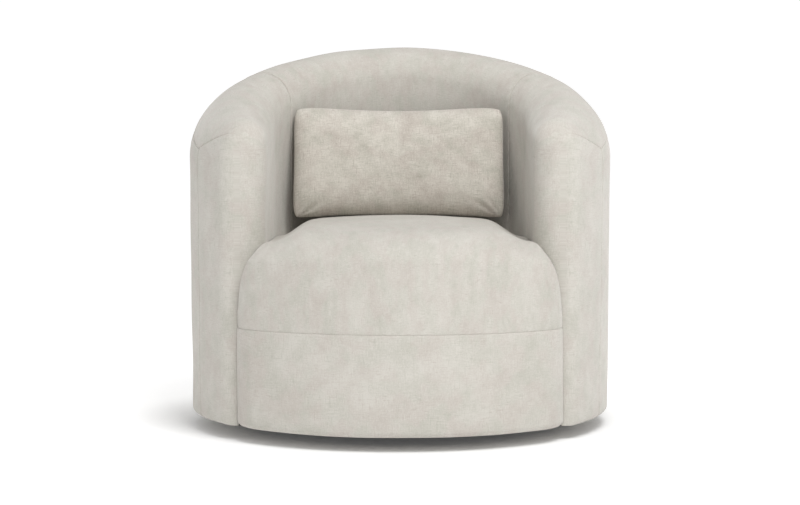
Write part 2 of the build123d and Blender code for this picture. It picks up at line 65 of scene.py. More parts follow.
class ChairSizes(bpy.types.PropertyGroup):
    """Sizes of the upholstery."""
    drum_radius: FloatProperty(
        name="Drum radius", description="Outside radius of the drum", default=0.4445, unit="LENGTH")
    drum_taper: FloatProperty(
        name="Drum taper", description="How much the drum draws in at its foot",
        default=0.004, unit="LENGTH")
    floor_gap: FloatProperty(
        name="Floor gap", description="Height of the hem above the floor", default=0.028, unit="LENGTH")
    hem_roll: FloatProperty(
        name="Hem roll", description="Rounding of the hem", default=0.012, unit="LENGTH")
    hem_width: FloatProperty(
        name="Hem width", description="Cloth turned in under the chair", default=0.084, unit="LENGTH")
    rim_back_height: FloatProperty(
        name="Back height", description="Height of the rim at the back", default=0.820, unit="LENGTH")
    rim_arm_height: FloatProperty(
        name="Arm height", description="Height of the rim at the front of the arms",
        default=0.628, unit="LENGTH")
    rim_sag: FloatProperty(
        name="Rim sag", description="Dip of the rim below a straight slope",
        default=0.012, unit="LENGTH")
    rim_outer_roll: FloatProperty(
        name="Outer roll", description="Rounding of the rim on its outside",
        default=0.140, unit="LENGTH")
    rim_inner_roll: FloatProperty(
        name="Inner roll", description="Rounding of the rim on its inside",
        default=0.075, unit="LENGTH")
    arm_end_roll: FloatProperty(
        name="Arm end roll", description="Drop of the crest over the front of an arm",
        default=0.048, unit="LENGTH")
    inner_half: FloatProperty(
        name="Inside half width", description="Half of the width between the arms",
        default=0.267, unit="LENGTH")
    arm_front: FloatProperty(
        name="Arm reach", description="Reach of the arms ahead of the swivel axis",
        default=0.278, unit="LENGTH")
    arm_corner: FloatProperty(
        name="Arm corner", description="Outer rounding of an arm's front in plan",
        default=0.042, unit="LENGTH")
    arm_flat: FloatProperty(
        name="Arm flat", description="Flat width left at the very front of an arm",
        default=0.010, unit="LENGTH")
    back_seam_angle: FloatProperty(
        name="Back seam angle", description="Turn of the seam between back and arm from the side",
        default=radians(26.5), subtype="ANGLE")
    rim_seam_drop: FloatProperty(
        name="Rim seam drop", description="Depth of the outside seam below the rim",
        default=0.080, unit="LENGTH")
    front_seam_y: FloatProperty(
        name="Front seam place", description="Where the front panel starts on the inside",
        default=-0.238, unit="LENGTH")
    front_seam_turn: FloatProperty(
        name="Front seam turn", description="Turn of the front panel's upright seam",
        default=radians(26.0), subtype="ANGLE")
    front_seam_slope: FloatProperty(
        name="Front seam slope", description="Rise of the arched seam per length ahead", default=0.47)
    seat_seam_height: FloatProperty(
        name="Seat seam height", description="Height of the seam between seat and apron",
        default=0.223, unit="LENGTH")
    seat_crown: FloatProperty(
        name="Seat crown", description="Height of the middle of the seat",
        default=0.4385, unit="LENGTH")
    seat_corner: FloatProperty(
        name="Seat corner", description="Rounding of the seat's front corners in plan",
        default=0.116, unit="LENGTH")
    seat_side: FloatProperty(
        name="Seat side", description="Half width of the seat ahead of the arms",
        default=0.325, unit="LENGTH")
    seat_setback: FloatProperty(
        name="Seat setback", description="How far the seat stands back from the apron",
        default=0.0008, unit="LENGTH")
    pillow_length: FloatProperty(
        name="Pillow length", description="Length of the lumbar pillow", default=0.465, unit="LENGTH")
    pillow_height: FloatProperty(
        name="Pillow height", description="Height of the lumbar pillow", default=0.258, unit="LENGTH")
    pillow_thickness: FloatProperty(
        name="Pillow thickness", description="Thickness of the lumbar pillow",
        default=0.120, unit="LENGTH")
    pillow_shift: FloatProperty(
        name="Pillow shift", description="How far the pillow sits to the left of the middle",
        default=0.003, unit="LENGTH")
    pillow_droop: FloatProperty(
        name="Pillow droop", description="How far the pillow's lower corners sink",
        default=0.025, unit="LENGTH")
    pillow_corner: FloatProperty(
        name="Pillow corner", description="How far the pillow's corners are rounded off",
        default=0.011, unit="LENGTH")
    pillow_lean: FloatProperty(
        name="Pillow lean", description="Lean of the pillow against the back",
        default=radians(15.0), subtype="ANGLE")
    seam_depth: FloatProperty(
        name="Seam depth", description="Depth of a sewn seam", default=0.0017, unit="LENGTH")
    seam_roll: FloatProperty(
        name="Seam roll", description="Rounding of a panel into its seam",
        default=0.0034, unit="LENGTH")
    seam_gap: FloatProperty(
        name="Seam gap", description="Half of the gap between two panels at their seam",
        default=0.0004, unit="LENGTH")
    seat_groove: FloatProperty(
        name="Seat seam depth", description="Depth of the seam between seat and apron",
        default=0.0013, unit="LENGTH")
    stitch_length: FloatProperty(
        name="Stitch length", description="Length from one stitch to the next",
        default=0.0042, unit="LENGTH")
    stitch_radius: FloatProperty(
        name="Thread radius", description="Half thickness of the sewing thread",
        default=0.00035, unit="LENGTH")
    staple_count: IntProperty(name="Staples", description="Staples round the dust cover", default=56)
    lining_hole: FloatProperty(
        name="Lining hole", description="Radius of the hole in the dust cover",
        default=0.1797, unit="LENGTH")
    deck_setback: FloatProperty(
        name="Deck setback", description="How far the deck stands back from the apron",
        default=0.0463, unit="LENGTH")
    strap_width: FloatProperty(
        name="Strap width", description="Width of a strap of the back webbing",
        default=0.050, unit="LENGTH")
    strap_count: IntProperty(name="Straps", description="Straps of the back webbing", default=4)


class ChairColours(bpy.types.PropertyGroup):
    """Colours of the cloth, the frame and the swivel."""
    cover_light: FloatVectorProperty(
        name="Cover, raised", description="Raised yarn of the cover",
        subtype="COLOR", default=(0.530, 0.509, 0.466))
    cover_dark: FloatVectorProperty(
        name="Cover, sunk", description="Sunk yarn of the cover",
        subtype="COLOR", default=(0.417, 0.396, 0.356))
    pillow_light: FloatVectorProperty(
        name="Pillow, raised", description="Raised yarn of the pillow",
        subtype="COLOR", default=(0.567, 0.535, 0.479))
    pillow_dark: FloatVectorProperty(
        name="Pillow, sunk", description="Sunk yarn of the pillow",
        subtype="COLOR", default=(0.377, 0.350, 0.307))
    lining: FloatVectorProperty(
        name="Lining", description="Spun cloth under the chair",
        subtype="COLOR", default=(0.018, 0.018, 0.018))
    felt: FloatVectorProperty(
        name="Felt", description="Pressed felt", subtype="COLOR", default=(0.16, 0.155, 0.15))
    thread: FloatVectorProperty(
        name="Thread", description="Sewing thread", subtype="COLOR", default=(0.44, 0.415, 0.37))
    webbing: FloatVectorProperty(
        name="Webbing", description="Woven strap", subtype="COLOR", default=(0.10, 0.09, 0.08))
    wood: FloatVectorProperty(
        name="Wood", description="Bare frame wood", subtype="COLOR", default=(0.56, 0.40, 0.24))
    black_board: FloatVectorProperty(
        name="Base board", description="Painted base board",
        subtype="COLOR", default=(0.020, 0.020, 0.020))
    zinc: FloatVectorProperty(
        name="Zinc", description="Plated steel", subtype="COLOR", default=(0.55, 0.56, 0.57))
    nylon: FloatVectorProperty(
        name="Nylon", description="Bearing plastic", subtype="COLOR", default=(0.72, 0.71, 0.66))


class StudioSettings(bpy.types.PropertyGroup):
    """Lights and camera."""
    surround: FloatProperty(name="Surround", description="Strength of the white surround", default=0.61)
    front_light: FloatProperty(
        name="Front light", description="Power of the weak light in front", default=5.0, unit="POWER")
    top_light: FloatProperty(
        name="Top light", description="Power of the main light above the front",
        default=58.0, unit="POWER")
    camera_distance: FloatProperty(
        name="Camera distance", description="Distance from the swivel axis", default=3.6, unit="LENGTH")
    camera_height: FloatProperty(
        name="Camera height", description="Height of the camera", default=0.526, unit="LENGTH")
    camera_pitch: FloatProperty(
        name="Camera pitch", description="Downward tilt of the camera",
        default=radians(2.66), subtype="ANGLE")
    camera_lens: FloatProperty(name="Lens", description="Focal length", default=75.9, unit="CAMERA")


# Shader maths

class Shade:
    """A socket of a node tree that takes part in sums."""

    def __init__(self, tree, socket):
        self.tree = tree
        self.socket = socket

    def node(self, kind, settings=None, out=0, **values):
        """Adds a node of a kind, sets it up, feeds its sockets and returns one of its outputs."""
        made = self.tree.nodes.new(kind)
        for name, value in (settings or {}).items():
            setattr(made, name, value)
        for name, value in values.items():
            key = int(name[1:]) if name[1:].isdigit() else name.replace("_", " ")
            feed(self.tree, made.inputs[key], value)
        return Shade(self.tree, made.outputs[out])

    def place(self):
        """The piece's own coordinates."""
        return self.node("ShaderNodeTexCoord", out=3)

    def math(self, operation, other):
        """Math node on this value and another."""
        return self.node("ShaderNodeMath", {"operation": operation}, i0=self, i1=other)

    def __add__(self, other):
        return self.math("ADD", other)

    def __radd__(self, other):
        return self.math("ADD", other)

    def __sub__(self, other):
        return self.math("SUBTRACT", other)

    def __rsub__(self, other):
        return self.node("ShaderNodeMath", {"operation": "SUBTRACT"}, i0=other, i1=self)

    def __mul__(self, other):
        return self.math("MULTIPLY", other)

    def __rmul__(self, other):
        return self.math("MULTIPLY", other)

    def between(self, low, high):
        """0 below low, 1 above high and smooth from one to the other."""
        settings = {"interpolation_type": "SMOOTHSTEP"}
        return self.node("ShaderNodeMapRange", settings, Value=self, From_Min=low, From_Max=high)

    def mix(self, first, second):
        """Colour between two colours, with this value as the share of the second."""
        settings = {"data_type": "RGBA"}
        return self.node("ShaderNodeMix", settings, 2, i0=self, i6=first, i7=second)


def feed(tree, socket, value):
    """Links or sets one input socket."""
    if isinstance(value, Shade):
        tree.links.new(value.socket, socket)
    elif socket.type == "RGBA" and len(value) == 3:
        socket.default_value = (*value, 1)
    else:
        socket.default_value = value


def new_material(name):
    """New material: its principled shader and a first Shade to add nodes from."""
    material = bpy.data.materials.new(name)
    material.use_nodes = True
    tree = material.node_tree
    shader = next(node for node in tree.nodes if node.type == "BSDF_PRINCIPLED")
    return shader, Shade(tree, None)


def feed_all(shade, shader, values):
    """Links or sets the shader's inputs by name."""
    for name, value in values.items():
        feed(shade.tree, shader.inputs[name], value)


def finish_material(shade, shader, colour, rough, height, bump):
    """Feeds colour, roughness and relief to the shader, with the relief's strength and depth as bump."""
    strength, depth = bump
    normal = shade.node("ShaderNodeBump", Strength=strength, Distance=depth, Height=height)
    feed_all(shade, shader, {"Base Color": colour, "Roughness": rough, "Normal": normal})


def tinted(base, share):
    """A colour made darker or lighter."""
    return tuple(min(1, share * part) for part in base)


def woven_cloth(name, light, dark, thread):
    """Slubby woven upholstery cloth with a soft pile, on the piece's own UV map in metres."""
    shader, shade = new_material(name)
    place = shade.node("ShaderNodeUVMap", {"uv_map": "cloth"})

    def noise(vector, scale, detail, rough=0.6):
        settings = {"noise_dimensions": "2D"}
        values = {"Vector": vector, "Scale": scale, "Detail": detail, "Roughness": rough}
        return shade.node("ShaderNodeTexNoise", settings, **values)

    def yarn(across, along, detail):
        scale = (across / thread, along / thread, 1)
        return noise(shade.node("ShaderNodeMapping", Vector=place, Scale=scale), 1, detail)

    warp = yarn(1, 0.09, 2)
    weft = yarn(0.09, 1, 2)
    slub_up = yarn(0.5, 0.06, 1)
    slub_across = yarn(0.06, 0.5, 1)
    cloud = noise(place, 8, 4)
    patch = noise(place, 30, 3)
    tint = noise(place, 19, 2, 0.5)
    fleck = noise(place, 0.55 / thread, 2)
    grain = (warp + weft) * 0.5
    slub = slub_up.between(0.58, 0.74) + slub_across.between(0.58, 0.74)
    rubbed = patch.between(0.42, 0.66)
    clouded = (cloud - 0.5) + (patch - 0.5) * 1.1
    tone = 0.57 + (grain - 0.5) * 1.5 + clouded - slub * rubbed * 0.42 + (fleck - 0.5)
    warm = tuple(c * k for c, k in zip(dark, (1.03, 0.985, 0.99)))
    cool = tuple(c * k for c, k in zip(dark, (0.985, 1.01, 0.985)))
    colour = tone.mix(tint.between(0.4, 0.6).mix(warm, cool), light)
    finish_material(shade, shader, colour, 0.86 + grain * 0.12, grain + slub * 0.3, (0.4, 0.0009))
    feed_all(shade, shader, {
        "Sheen Weight": 0.28, "Sheen Roughness": 0.5, "Sheen Tint": (1.0, 0.99, 0.97),
        "Specular IOR Level": 0.18})


def matted_fibres(name, base, scale):
    """Lining, felt or thread: dull fibres with faint dots."""
    shader, shade = new_material(name)
    place = shade.place()
    dots = shade.node("ShaderNodeTexVoronoi", Vector=place, Scale=scale)
    fibre = shade.node("ShaderNodeTexNoise", Vector=place, Scale=scale * 2.2, Detail=3)
    tone = dots.between(0.1, 0.5) * 0.5 + fibre * 0.5
    colour = tone.mix(tinted(base, 0.6), tinted(base, 1.7))
    finish_material(shade, shader, colour, 0.9 + fibre * 0.08, dots * 0.6 + fibre * 0.4, (0.4, 0.0006))


def plank_wood(name, base):
    """Bare frame wood with long grain."""
    shader, shade = new_material(name)
    place = shade.place()
    long_way = shade.node("ShaderNodeMapping", Vector=place, Scale=(30, 30, 4))
    grain = shade.node("ShaderNodeTexNoise", Vector=long_way, Scale=1, Detail=5, Distortion=0.6)
    pores = shade.node("ShaderNodeTexNoise", Vector=long_way, Scale=9, Detail=2)
    tone = grain.between(0.3, 0.7) * 0.75 + pores * 0.25
    colour = tone.mix(tinted(base, 0.62), tinted(base, 1.18))
    finish_material(shade, shader, colour, 0.55 + grain * 0.2, tone, (0.25, 0.0006))


def smooth_skin(name, base, metal, rough, scale):
    """Plated steel, paint or plastic, faintly blotched and scuffed."""
    shader, shade = new_material(name)
    place = shade.place()
    blotch = shade.node("ShaderNodeTexNoise", Vector=place, Scale=scale, Detail=4)
    scuff = shade.node("ShaderNodeTexNoise", Vector=place, Scale=scale * 7, Detail=2)
    tone = blotch * 0.7 + scuff * 0.3
    colour = tone.mix(tinted(base, 0.8), tinted(base, 1.2))
    finish_material(shade, shader, colour, rough + blotch * 0.15, scuff, (0.12, 0.0004))
    feed_all(shade, shader, {"Metallic": metal})


def finishes():
    """All materials by name, made once."""
    made = bpy.data.materials
    if made.get("cover_cloth"):
        return made
    colours = bpy.context.scene.chair_colours
    woven_cloth("cover_cloth", colours.cover_light, colours.cover_dark, 0.0016)
    woven_cloth("pillow_cloth", colours.pillow_light, colours.pillow_dark, 0.0016)
    woven_cloth("strap_webbing", tinted(colours.webbing, 1.5), colours.webbing, 0.0022)
    matted_fibres("spun_lining", colours.lining, 420)
    matted_fibres("pressed_felt", colours.felt, 260)
    matted_fibres("sewing_thread", colours.thread, 900)
    plank_wood("frame_wood", colours.wood)
    smooth_skin("painted_board", colours.black_board, 0, 0.62, 40)
    smooth_skin("painted_plate", tinted(colours.black_board, 1.3), 0, 0.38, 60)
    smooth_skin("zinc_steel", colours.zinc, 1, 0.28, 90)
    smooth_skin("natural_nylon", colours.nylon, 0, 0.42, 120)
    return made


# Mesh helpers

# Distances from a seam at which points are laid close together
seam_steps = np.array([0, 0.0005, 0.0012, 0.0022, 0.0036, 0.0056, 0.0085])
# Depth and wave length of the padding's unevenness, and the distance over which it fades towards a seam
wall_swell = 0.0009
seat_swell = 0.0008
swell_length = 0.24
swell_fade = 0.03


def add_object(name, verts, faces, uvs, material):
    """Mesh object at the origin from corner points, faces, UV maps in metres by name and a finish."""
    mesh = bpy.data.meshes.new(name)
    mesh.from_pydata(np.asarray(verts).tolist(), [], faces)
    loops = np.zeros(len(mesh.loops), np.int32)
    mesh.loops.foreach_get("vertex_index", loops)
    for layer_name, places in uvs.items():
        layer = mesh.uv_layers.new(name=layer_name)
        layer.data.foreach_set("uv", np.asarray(places, np.float32).reshape(-1, 2)[loops].ravel())
    mesh.polygons.foreach_set("use_smooth", [True] * len(mesh.polygons))
    mesh.materials.append(finishes()[material])
    mesh.update()
    made = bpy.data.objects.new(name, mesh)
    bpy.context.scene.collection.objects.link(made)
    return made


def index_faces(index, flip):
    """Quads between the points of a grid, from their numbers."""
    corners = [index[:-1, :-1], index[:-1, 1:], index[1:, 1:], index[1:, :-1]]
    quads = np.stack(corners, -1).reshape(-1, 4)
    return (quads[:, ::-1] if flip else quads).tolist()


def grid_faces(rows, columns, flip=False):
    """Quads of a grid of rows by columns."""
    return index_faces(np.arange(rows * columns).reshape(rows, columns), flip)


def joined_grids(grids):
    """Points and quads of several grids as one mesh."""
    faces = []
    count = 0
    for grid in grids:
        rows, columns = grid.shape[:2]
        faces += [[count + corner for corner in face] for face in grid_faces(rows, columns)]
        count += rows * columns
    return np.concatenate([grid.reshape(-1, 3) for grid in grids]), faces


def mesh_points(mesh):
    """Places of a mesh's points."""
    places = np.zeros(len(mesh.vertices) * 3, np.float32)
    mesh.vertices.foreach_get("co", places)
    return places.reshape(-1, 3)


def move_points(mesh, places):
    """Puts a mesh's points in new places."""
    mesh.vertices.foreach_set("co", places.ravel())
    mesh.update()


def thicken(made, thickness):
    """Gives a sheet its thickness, half to each side."""
    solid = made.modifiers.new("thickness", "SOLIDIFY")
    solid.thickness = thickness
    solid.offset = 0


def grid_normals(points):
    """Unit normals of a grid of points."""
    along = np.gradient(points, axis=0)
    across = np.gradient(points, axis=1)
    normal = np.cross(along, across)
    return normal / np.maximum(np.linalg.norm(normal, axis=-1, keepdims=True), 1e-12)


def grid_lengths(points, middle=0):
    """Lengths along a grid's rows, and along its columns from a middle one, in metres, for its UV map."""
    down = np.linalg.norm(np.diff(points, axis=0), axis=-1).max(axis=1)
    along = np.concatenate([[0], np.cumsum(down)])
    steps = np.linalg.norm(np.diff(points, axis=1), axis=-1)
    across = np.concatenate([np.zeros((len(points), 1)), np.cumsum(steps, axis=1)], axis=1)
    across = across - across[:, middle:middle + 1]
    return np.stack([np.broadcast_to(along[:, None], across.shape), across], -1)


def path_lengths(points):
    """Length along a path at each of its points."""
    return np.concatenate([[0], np.cumsum(np.linalg.norm(np.diff(points, axis=0), axis=1))])


def side_lengths(points):
    """Lengths round a wall and up it in metres, for the UV map of its outside and front panels."""
    inner = path_lengths(points[:, 0, :2])
    outer = path_lengths(points[:, hem_column, :2])
    share = np.interp(np.arange(points.shape[1]), [rim_column, side_column], [0, 1])
    around = (inner[-1] - inner)[:, None] * (1 - share) - (outer[-1] - outer)[:, None] * share
    up = points[..., 2].copy()
    under = np.linalg.norm(np.diff(points[:, hem_column:], axis=1), axis=-1).cumsum(axis=1)
    up[:, hem_column + 1:] = up[:, hem_column:hem_column + 1] - under
    return np.stack([around, up], -1)


def lay_panels(made, outside):
    """Lays the cloth of the outside and front panels upright instead of along the rim."""
    mesh = made.data
    middles = np.zeros(len(mesh.polygons) * 3)
    mesh.polygons.foreach_get("center", middles)
    corners = np.zeros(len(mesh.polygons), np.int32)
    mesh.polygons.foreach_get("loop_total", corners)
    chosen = np.repeat(outside(middles.reshape(-1, 3)), corners)
    cloth = np.zeros(len(mesh.loops) * 2, np.float32)
    side = cloth.copy()
    mesh.uv_layers["cloth"].data.foreach_get("uv", cloth)
    mesh.uv_layers["side"].data.foreach_get("uv", side)
    mesh.uv_layers["cloth"].data.foreach_set("uv", np.where(np.repeat(chosen, 2), side, cloth))
    mesh.uv_layers.remove(mesh.uv_layers["side"])


def soft_swell(points, amount, distance):
    """Slow, shallow unevenness of hand-laid padding at points with a distance from their seam."""
    # Direction and phase of each wave
    waves = ((1.0, 0.4, 0.7, 0.3), (-0.6, 1.1, 0.5, 1.9), (0.3, -0.9, 1.2, 4.1), (1.3, 0.8, -0.4, 2.6),
             (-1.1, -0.5, 0.9, 5.2), (0.7, 1.4, 1.1, 0.8))
    total = 0
    for x, y, z, shift in waves:
        along = points[..., 0] * x + points[..., 1] * y + points[..., 2] * z
        total = total + np.sin(along * 2 * pi / swell_length + shift)
    return total * amount / 3 * np.clip(distance / swell_fade, 0, 1)


def smooth_step(value, low, high):
    """0 below low, 1 above high and smooth from one to the other."""
    share = np.clip((value - low) / (high - low), 0, 1)
    return share * share * (3 - 2 * share)


def edge_roll(distance, radius):
    """Depth of a rounded edge at a distance from where it ends."""
    inside = np.clip((radius - distance) / radius, 0, 1)
    return radius * (1 - np.sqrt(1 - inside ** 2))


def dense_ends(start, stop, step, both):
    """Values from start to stop about a step apart, with close ones at the start or at both ends."""
    length = abs(stop - start)
    last = (length - seam_steps[::-1]) if both else np.array([length])
    count = max(2, round((last[0] - seam_steps[-1]) / step))
    middle = np.linspace(seam_steps[-1], last[0], count + 1)[1:-1]
    values = np.concatenate([seam_steps, middle, last])
    return start + (stop - start) * values / length


# Walls: back and arms

# Radius at which lengths round the walls are measured
wall_radius = 0.38
# How far cloth turns in behind a seam, and how far the inside cloth runs down behind the seat's seam
seam_allowance = 0.012
foot_tuck = 0.012
# Points of a wall's section: up its inside, over the crest to the outside, down to the side,
# down the side, round the hem and under it
section_counts = (74, 37, 29, 117, 7, 9)
# Last column of the flat inside, column of the crest, and last columns of the rim and of the side
rim_column = section_counts[0] - 1
crest_column = rim_column + 27
side_column = sum(section_counts[:3]) - 1
hem_column = sum(section_counts[:4]) - 1


def rim_height(size, y):
    """Height of the crest of the rim, which follows a shallow arc from the arms up to the back."""
    front_y = -size.arm_front
    back_y = size.inner_half + size.rim_inner_roll
    run = back_y - front_y
    rise = size.rim_back_height - size.rim_arm_height
    chord = hypot(run, rise)
    radius = (chord ** 2 / 4 + size.rim_sag ** 2) / (2 * size.rim_sag)
    reach = (radius - size.rim_sag) / chord
    centre_y = (front_y + back_y) / 2 - rise * reach
    centre_z = (size.rim_arm_height + size.rim_back_height) / 2 + run * reach
    return centre_z - sqrt(radius ** 2 - (y - centre_y) ** 2)


def wall_outline(size, near, far, crest):
    """Upright section of a wall from the foot of its inside, over the rolled rim, to under its hem."""
    share = (far - near) / (size.drum_radius - size.inner_half)
    outer_roll = size.rim_outer_roll * share
    inner_roll = size.rim_inner_roll * share
    hem = size.hem_roll * min(1, 2 * share)
    low = far - size.drum_taper * share
    top = crest - inner_roll
    bottom = size.floor_gap
    meet = acos((outer_roll + inner_roll - far + near) / (outer_roll - inner_roll))
    outer_x = near + inner_roll + (inner_roll - outer_roll) * cos(meet)
    outer_z = top + (inner_roll - outer_roll) * sin(meet)
    foot = size.seat_seam_height - foot_tuck
    counts = section_counts
    rise = np.linspace(foot, top, counts[0])
    over = np.linspace(pi, meet, counts[1] + 1)[1:]
    fall = np.linspace(meet, 0, counts[2] + 1)[1:]
    side = np.linspace(0, 1, counts[3] + 1)[1:]
    turn = np.linspace(0, -pi / 2, counts[4] + 1)[1:]
    under = np.linspace(0, 1, counts[5] + 1)[1:] * (size.hem_width - size.hem_roll) * min(1, 1.3 * share)
    x = [np.full(len(rise), near), near + inner_roll + inner_roll * np.cos(over),
         outer_x + outer_roll * np.cos(fall), far + (low - far) * side,
         low - hem + hem * np.cos(turn), low - hem - under]
    z = [rise, top + inner_roll * np.sin(over),
         outer_z + outer_roll * np.sin(fall), outer_z + (bottom + hem - outer_z) * side,
         bottom + hem + hem * np.sin(turn), np.full(len(under), bottom)]
    return np.concatenate(x), np.concatenate(z)


def radial_section(size, angle):
    """Section of the round back at an angle from +X, in radians."""
    crest = rim_height(size, (size.inner_half + size.rim_inner_roll) * sin(angle))
    x, z = wall_outline(size, size.inner_half, size.drum_radius, crest)
    return np.stack([x * cos(angle), x * sin(angle), z], -1)


def arm_plan(size):
    """Outer corner centre, inner corner rounding and the bend of the right arm in plan."""
    outer_y = size.arm_corner - size.arm_front
    outer_x = sqrt((size.drum_radius - size.arm_corner) ** 2 - outer_y ** 2)
    inner_corner = outer_x - size.arm_flat - size.inner_half
    return outer_x, outer_y, inner_corner, inner_corner - size.arm_front


def arm_section(size, y, drop):
    """Section of the right arm square to Y, with its crest lowered by drop."""
    outer_x, outer_y, inner_corner, bend = arm_plan(size)
    near = size.inner_half
    if y < bend:
        near += inner_corner - sqrt(max(0, inner_corner ** 2 - (y - bend) ** 2))
    far = sqrt(size.drum_radius ** 2 - y ** 2)
    if y < outer_y * size.drum_radius / (size.drum_radius - size.arm_corner):
        far = outer_x + sqrt(max(0, size.arm_corner ** 2 - (y - outer_y) ** 2))
    x, z = wall_outline(size, near, far, rim_height(size, y) - drop)
    return np.stack([x, np.full(len(x), y), z], -1)


def pucker(points, distance):
    """Small gathers that run out from a seam."""
    depth = 0.00045
    reach = 0.016
    long_wave = 0.027
    short_wave = 0.0173
    fade = np.exp(-(distance / reach) ** 2)[:, None]
    along = (points[..., 2] * 1.3 + points[..., 1] * 0.6) * 2 * pi
    return depth * fade * (np.sin(along / long_wave) + 0.6 * np.sin(along / short_wave + 1.0))


def rim_seam(size):
    """Point and normal of the sloping plane of the outside seam below the rim."""
    slope = atan2(size.rim_back_height - size.rim_arm_height, size.arm_front + size.drum_radius)
    point = np.array([0, -size.arm_front, size.rim_arm_height - size.rim_seam_drop])
    return point, np.array([0, -sin(slope), cos(slope)])


def ahead_of_front_seam(size, points):
    """Distance ahead of the upright seam of the right arm's front panel."""
    turn = size.front_seam_turn
    return (points[:, 0] - size.inner_half) * sin(turn) - (points[:, 1] - size.front_seam_y) * cos(turn)


def front_seam_corner(size):
    """Height where the upright seam of the front panel meets the seam below the rim."""
    slope = (size.rim_back_height - size.rim_arm_height) / (size.arm_front + size.drum_radius)
    outer_y = size.front_seam_y + (size.drum_radius - size.inner_half) * sin(size.front_seam_turn)
    return size.rim_arm_height - size.rim_seam_drop + slope * (size.arm_front + outer_y)


def below_rim_seam(size, points):
    """Whether each point lies on the outside of a wall, below the seam under the rim."""
    point, normal = rim_seam(size)
    far = np.hypot(points[:, 0], points[:, 1]) > size.drum_radius - size.hem_width
    return far & ((points - point) @ normal < 0)


def in_front_panel(size, points):
    """Whether each point lies on the right arm's front panel."""
    start, over = front_arch(size)
    return (ahead_of_front_seam(size, points) > 0) & ((points - start) @ over < 0)


def front_arch(size):
    """Point and normal of the plane of the arched seam over the right arm's front panel."""
    turn = size.front_seam_turn
    rise = size.front_seam_slope
    over = np.array([-rise * sin(turn), rise * cos(turn), 1.0])
    start = np.array([size.inner_half, size.front_seam_y, front_seam_corner(size)])
    return start, over / np.linalg.norm(over)


def wall_seams(size, is_arm):
    """Seams across a wall: point and normal of each one's plane, and how strongly it runs at points."""
    touch = 0.001
    point, normal = rim_seam(size)
    outside_from = size.drum_radius - size.hem_width - 0.02
    inside_to = size.inner_half + 0.03

    def outside(points):
        strength = (np.hypot(points[:, 0], points[:, 1]) > outside_from) * 1.0
        return strength * (ahead_of_front_seam(size, points) < touch) if is_arm else strength

    seams = [(point, normal, outside)]
    if not is_arm:
        return seams
    turn = size.front_seam_turn
    start, over = front_arch(size)

    def upright(points):
        strength = np.clip((points[:, 0] - inside_to) / 0.05, 0, 1)
        return strength * (points[:, 2] < start[2] + touch)

    def arched(points):
        strength = np.clip((points[:, 0] - inside_to) / 0.08, 0, 1)
        return strength * (ahead_of_front_seam(size, points) > -touch)

    seams.append((start, np.array([sin(turn), -cos(turn), 0]), upright))
    seams.append((start, over, arched))
    return seams


def sew(made, seams, depth):
    """Cuts fine edges along the seams of a mesh, draws them in and gives the ends of each seam edge."""
    reach = 0.012
    cuts = (0, 0.0008, -0.0008, 0.0018, -0.0018, 0.0034, -0.0034)
    groove = 0.0013
    stitched_from = 0.4
    mesh = made.data
    work = bmesh.new()
    work.from_mesh(mesh)
    for point, normal, runs in seams:
        work.faces.ensure_lookup_table()
        middles = np.array([face.calc_center_median() for face in work.faces])
        near = (np.abs((middles - point) @ normal) < reach) & (runs(middles) > 0)
        faces = [work.faces[i] for i in np.flatnonzero(near)]
        geometry = set(faces)
        for face in faces:
            geometry.update(face.edges)
            geometry.update(face.verts)
        geometry = list(geometry)
        for offset in cuts:
            place = Vector(point + normal * offset)
            cut = bmesh.ops.bisect_plane(
                work, geom=geometry, dist=1e-6, plane_co=place, plane_no=Vector(normal))
            geometry = cut["geom"]
    work.normal_update()
    work.verts.ensure_lookup_table()
    places = np.array([vert.co for vert in work.verts])
    sunk = np.zeros(len(places))
    for point, normal, runs in seams:
        distance = np.abs((places - point) @ normal)
        sunk = np.maximum(sunk, depth * runs(places) * np.exp(-(distance / groove) ** 1.3))
    for i in np.flatnonzero(sunk > 1e-5):
        vert = work.verts[i]
        vert.co -= vert.normal * sunk[i]
    lines = []
    ends = np.array([[edge.verts[0].index, edge.verts[1].index] for edge in work.edges])
    for point, normal, runs in seams:
        on = (np.abs((places - point) @ normal) < 1e-5) & (runs(places) > stitched_from)
        lines += [[work.verts[i].co[:] for i in pair] for pair in ends[on[ends].all(axis=1)]]
    work.to_mesh(mesh)
    work.free()
    mesh.polygons.foreach_set("use_smooth", [True] * len(mesh.polygons))
    mesh.update()
    return np.array(lines)


def padded_wall(size, points, normals, distance, swell, both):
    """A wall with its swell and gathers, rolled into its sewn ends and turned in behind them."""
    points = points + normals * (swell + pucker(points, distance))[..., None]
    points = points - normals * edge_roll(distance, size.seam_roll)[:, None, None]
    first = points[:1] - normals[:1] * seam_allowance
    last = points[-1:] - normals[-1:] * seam_allowance
    return np.concatenate([first, points, last] if both else [first, points])


def wall_object(name, points, faces):
    """Mesh object of a wall, with its cloth laid along the rim and also upright."""
    uvs = {"cloth": grid_lengths(points, crest_column), "side": side_lengths(points)}
    return add_object(name, points.reshape(-1, 3), faces, uvs, "cover_cloth")


def build_back(size):
    """The padded back as one upholstered piece."""
    step = 0.0052
    start = size.back_seam_angle + size.seam_gap / wall_radius
    lengths = dense_ends(start * wall_radius, (pi - start) * wall_radius, step, True)
    angles = lengths / wall_radius
    points = np.array([radial_section(size, angle) for angle in angles])
    normals = -grid_normals(points)
    distance = np.minimum(angles - start, pi - start - angles) * wall_radius
    swell = soft_swell(points, wall_swell, distance[:, None])
    points = padded_wall(size, points, normals, distance, swell, True)
    made = wall_object("back_upholstery", points, grid_faces(*points.shape[:2], True))
    lines = sew(made, wall_seams(size, False), size.seam_depth)
    lay_panels(made, lambda middles: below_rim_seam(size, middles))
    return made, lines


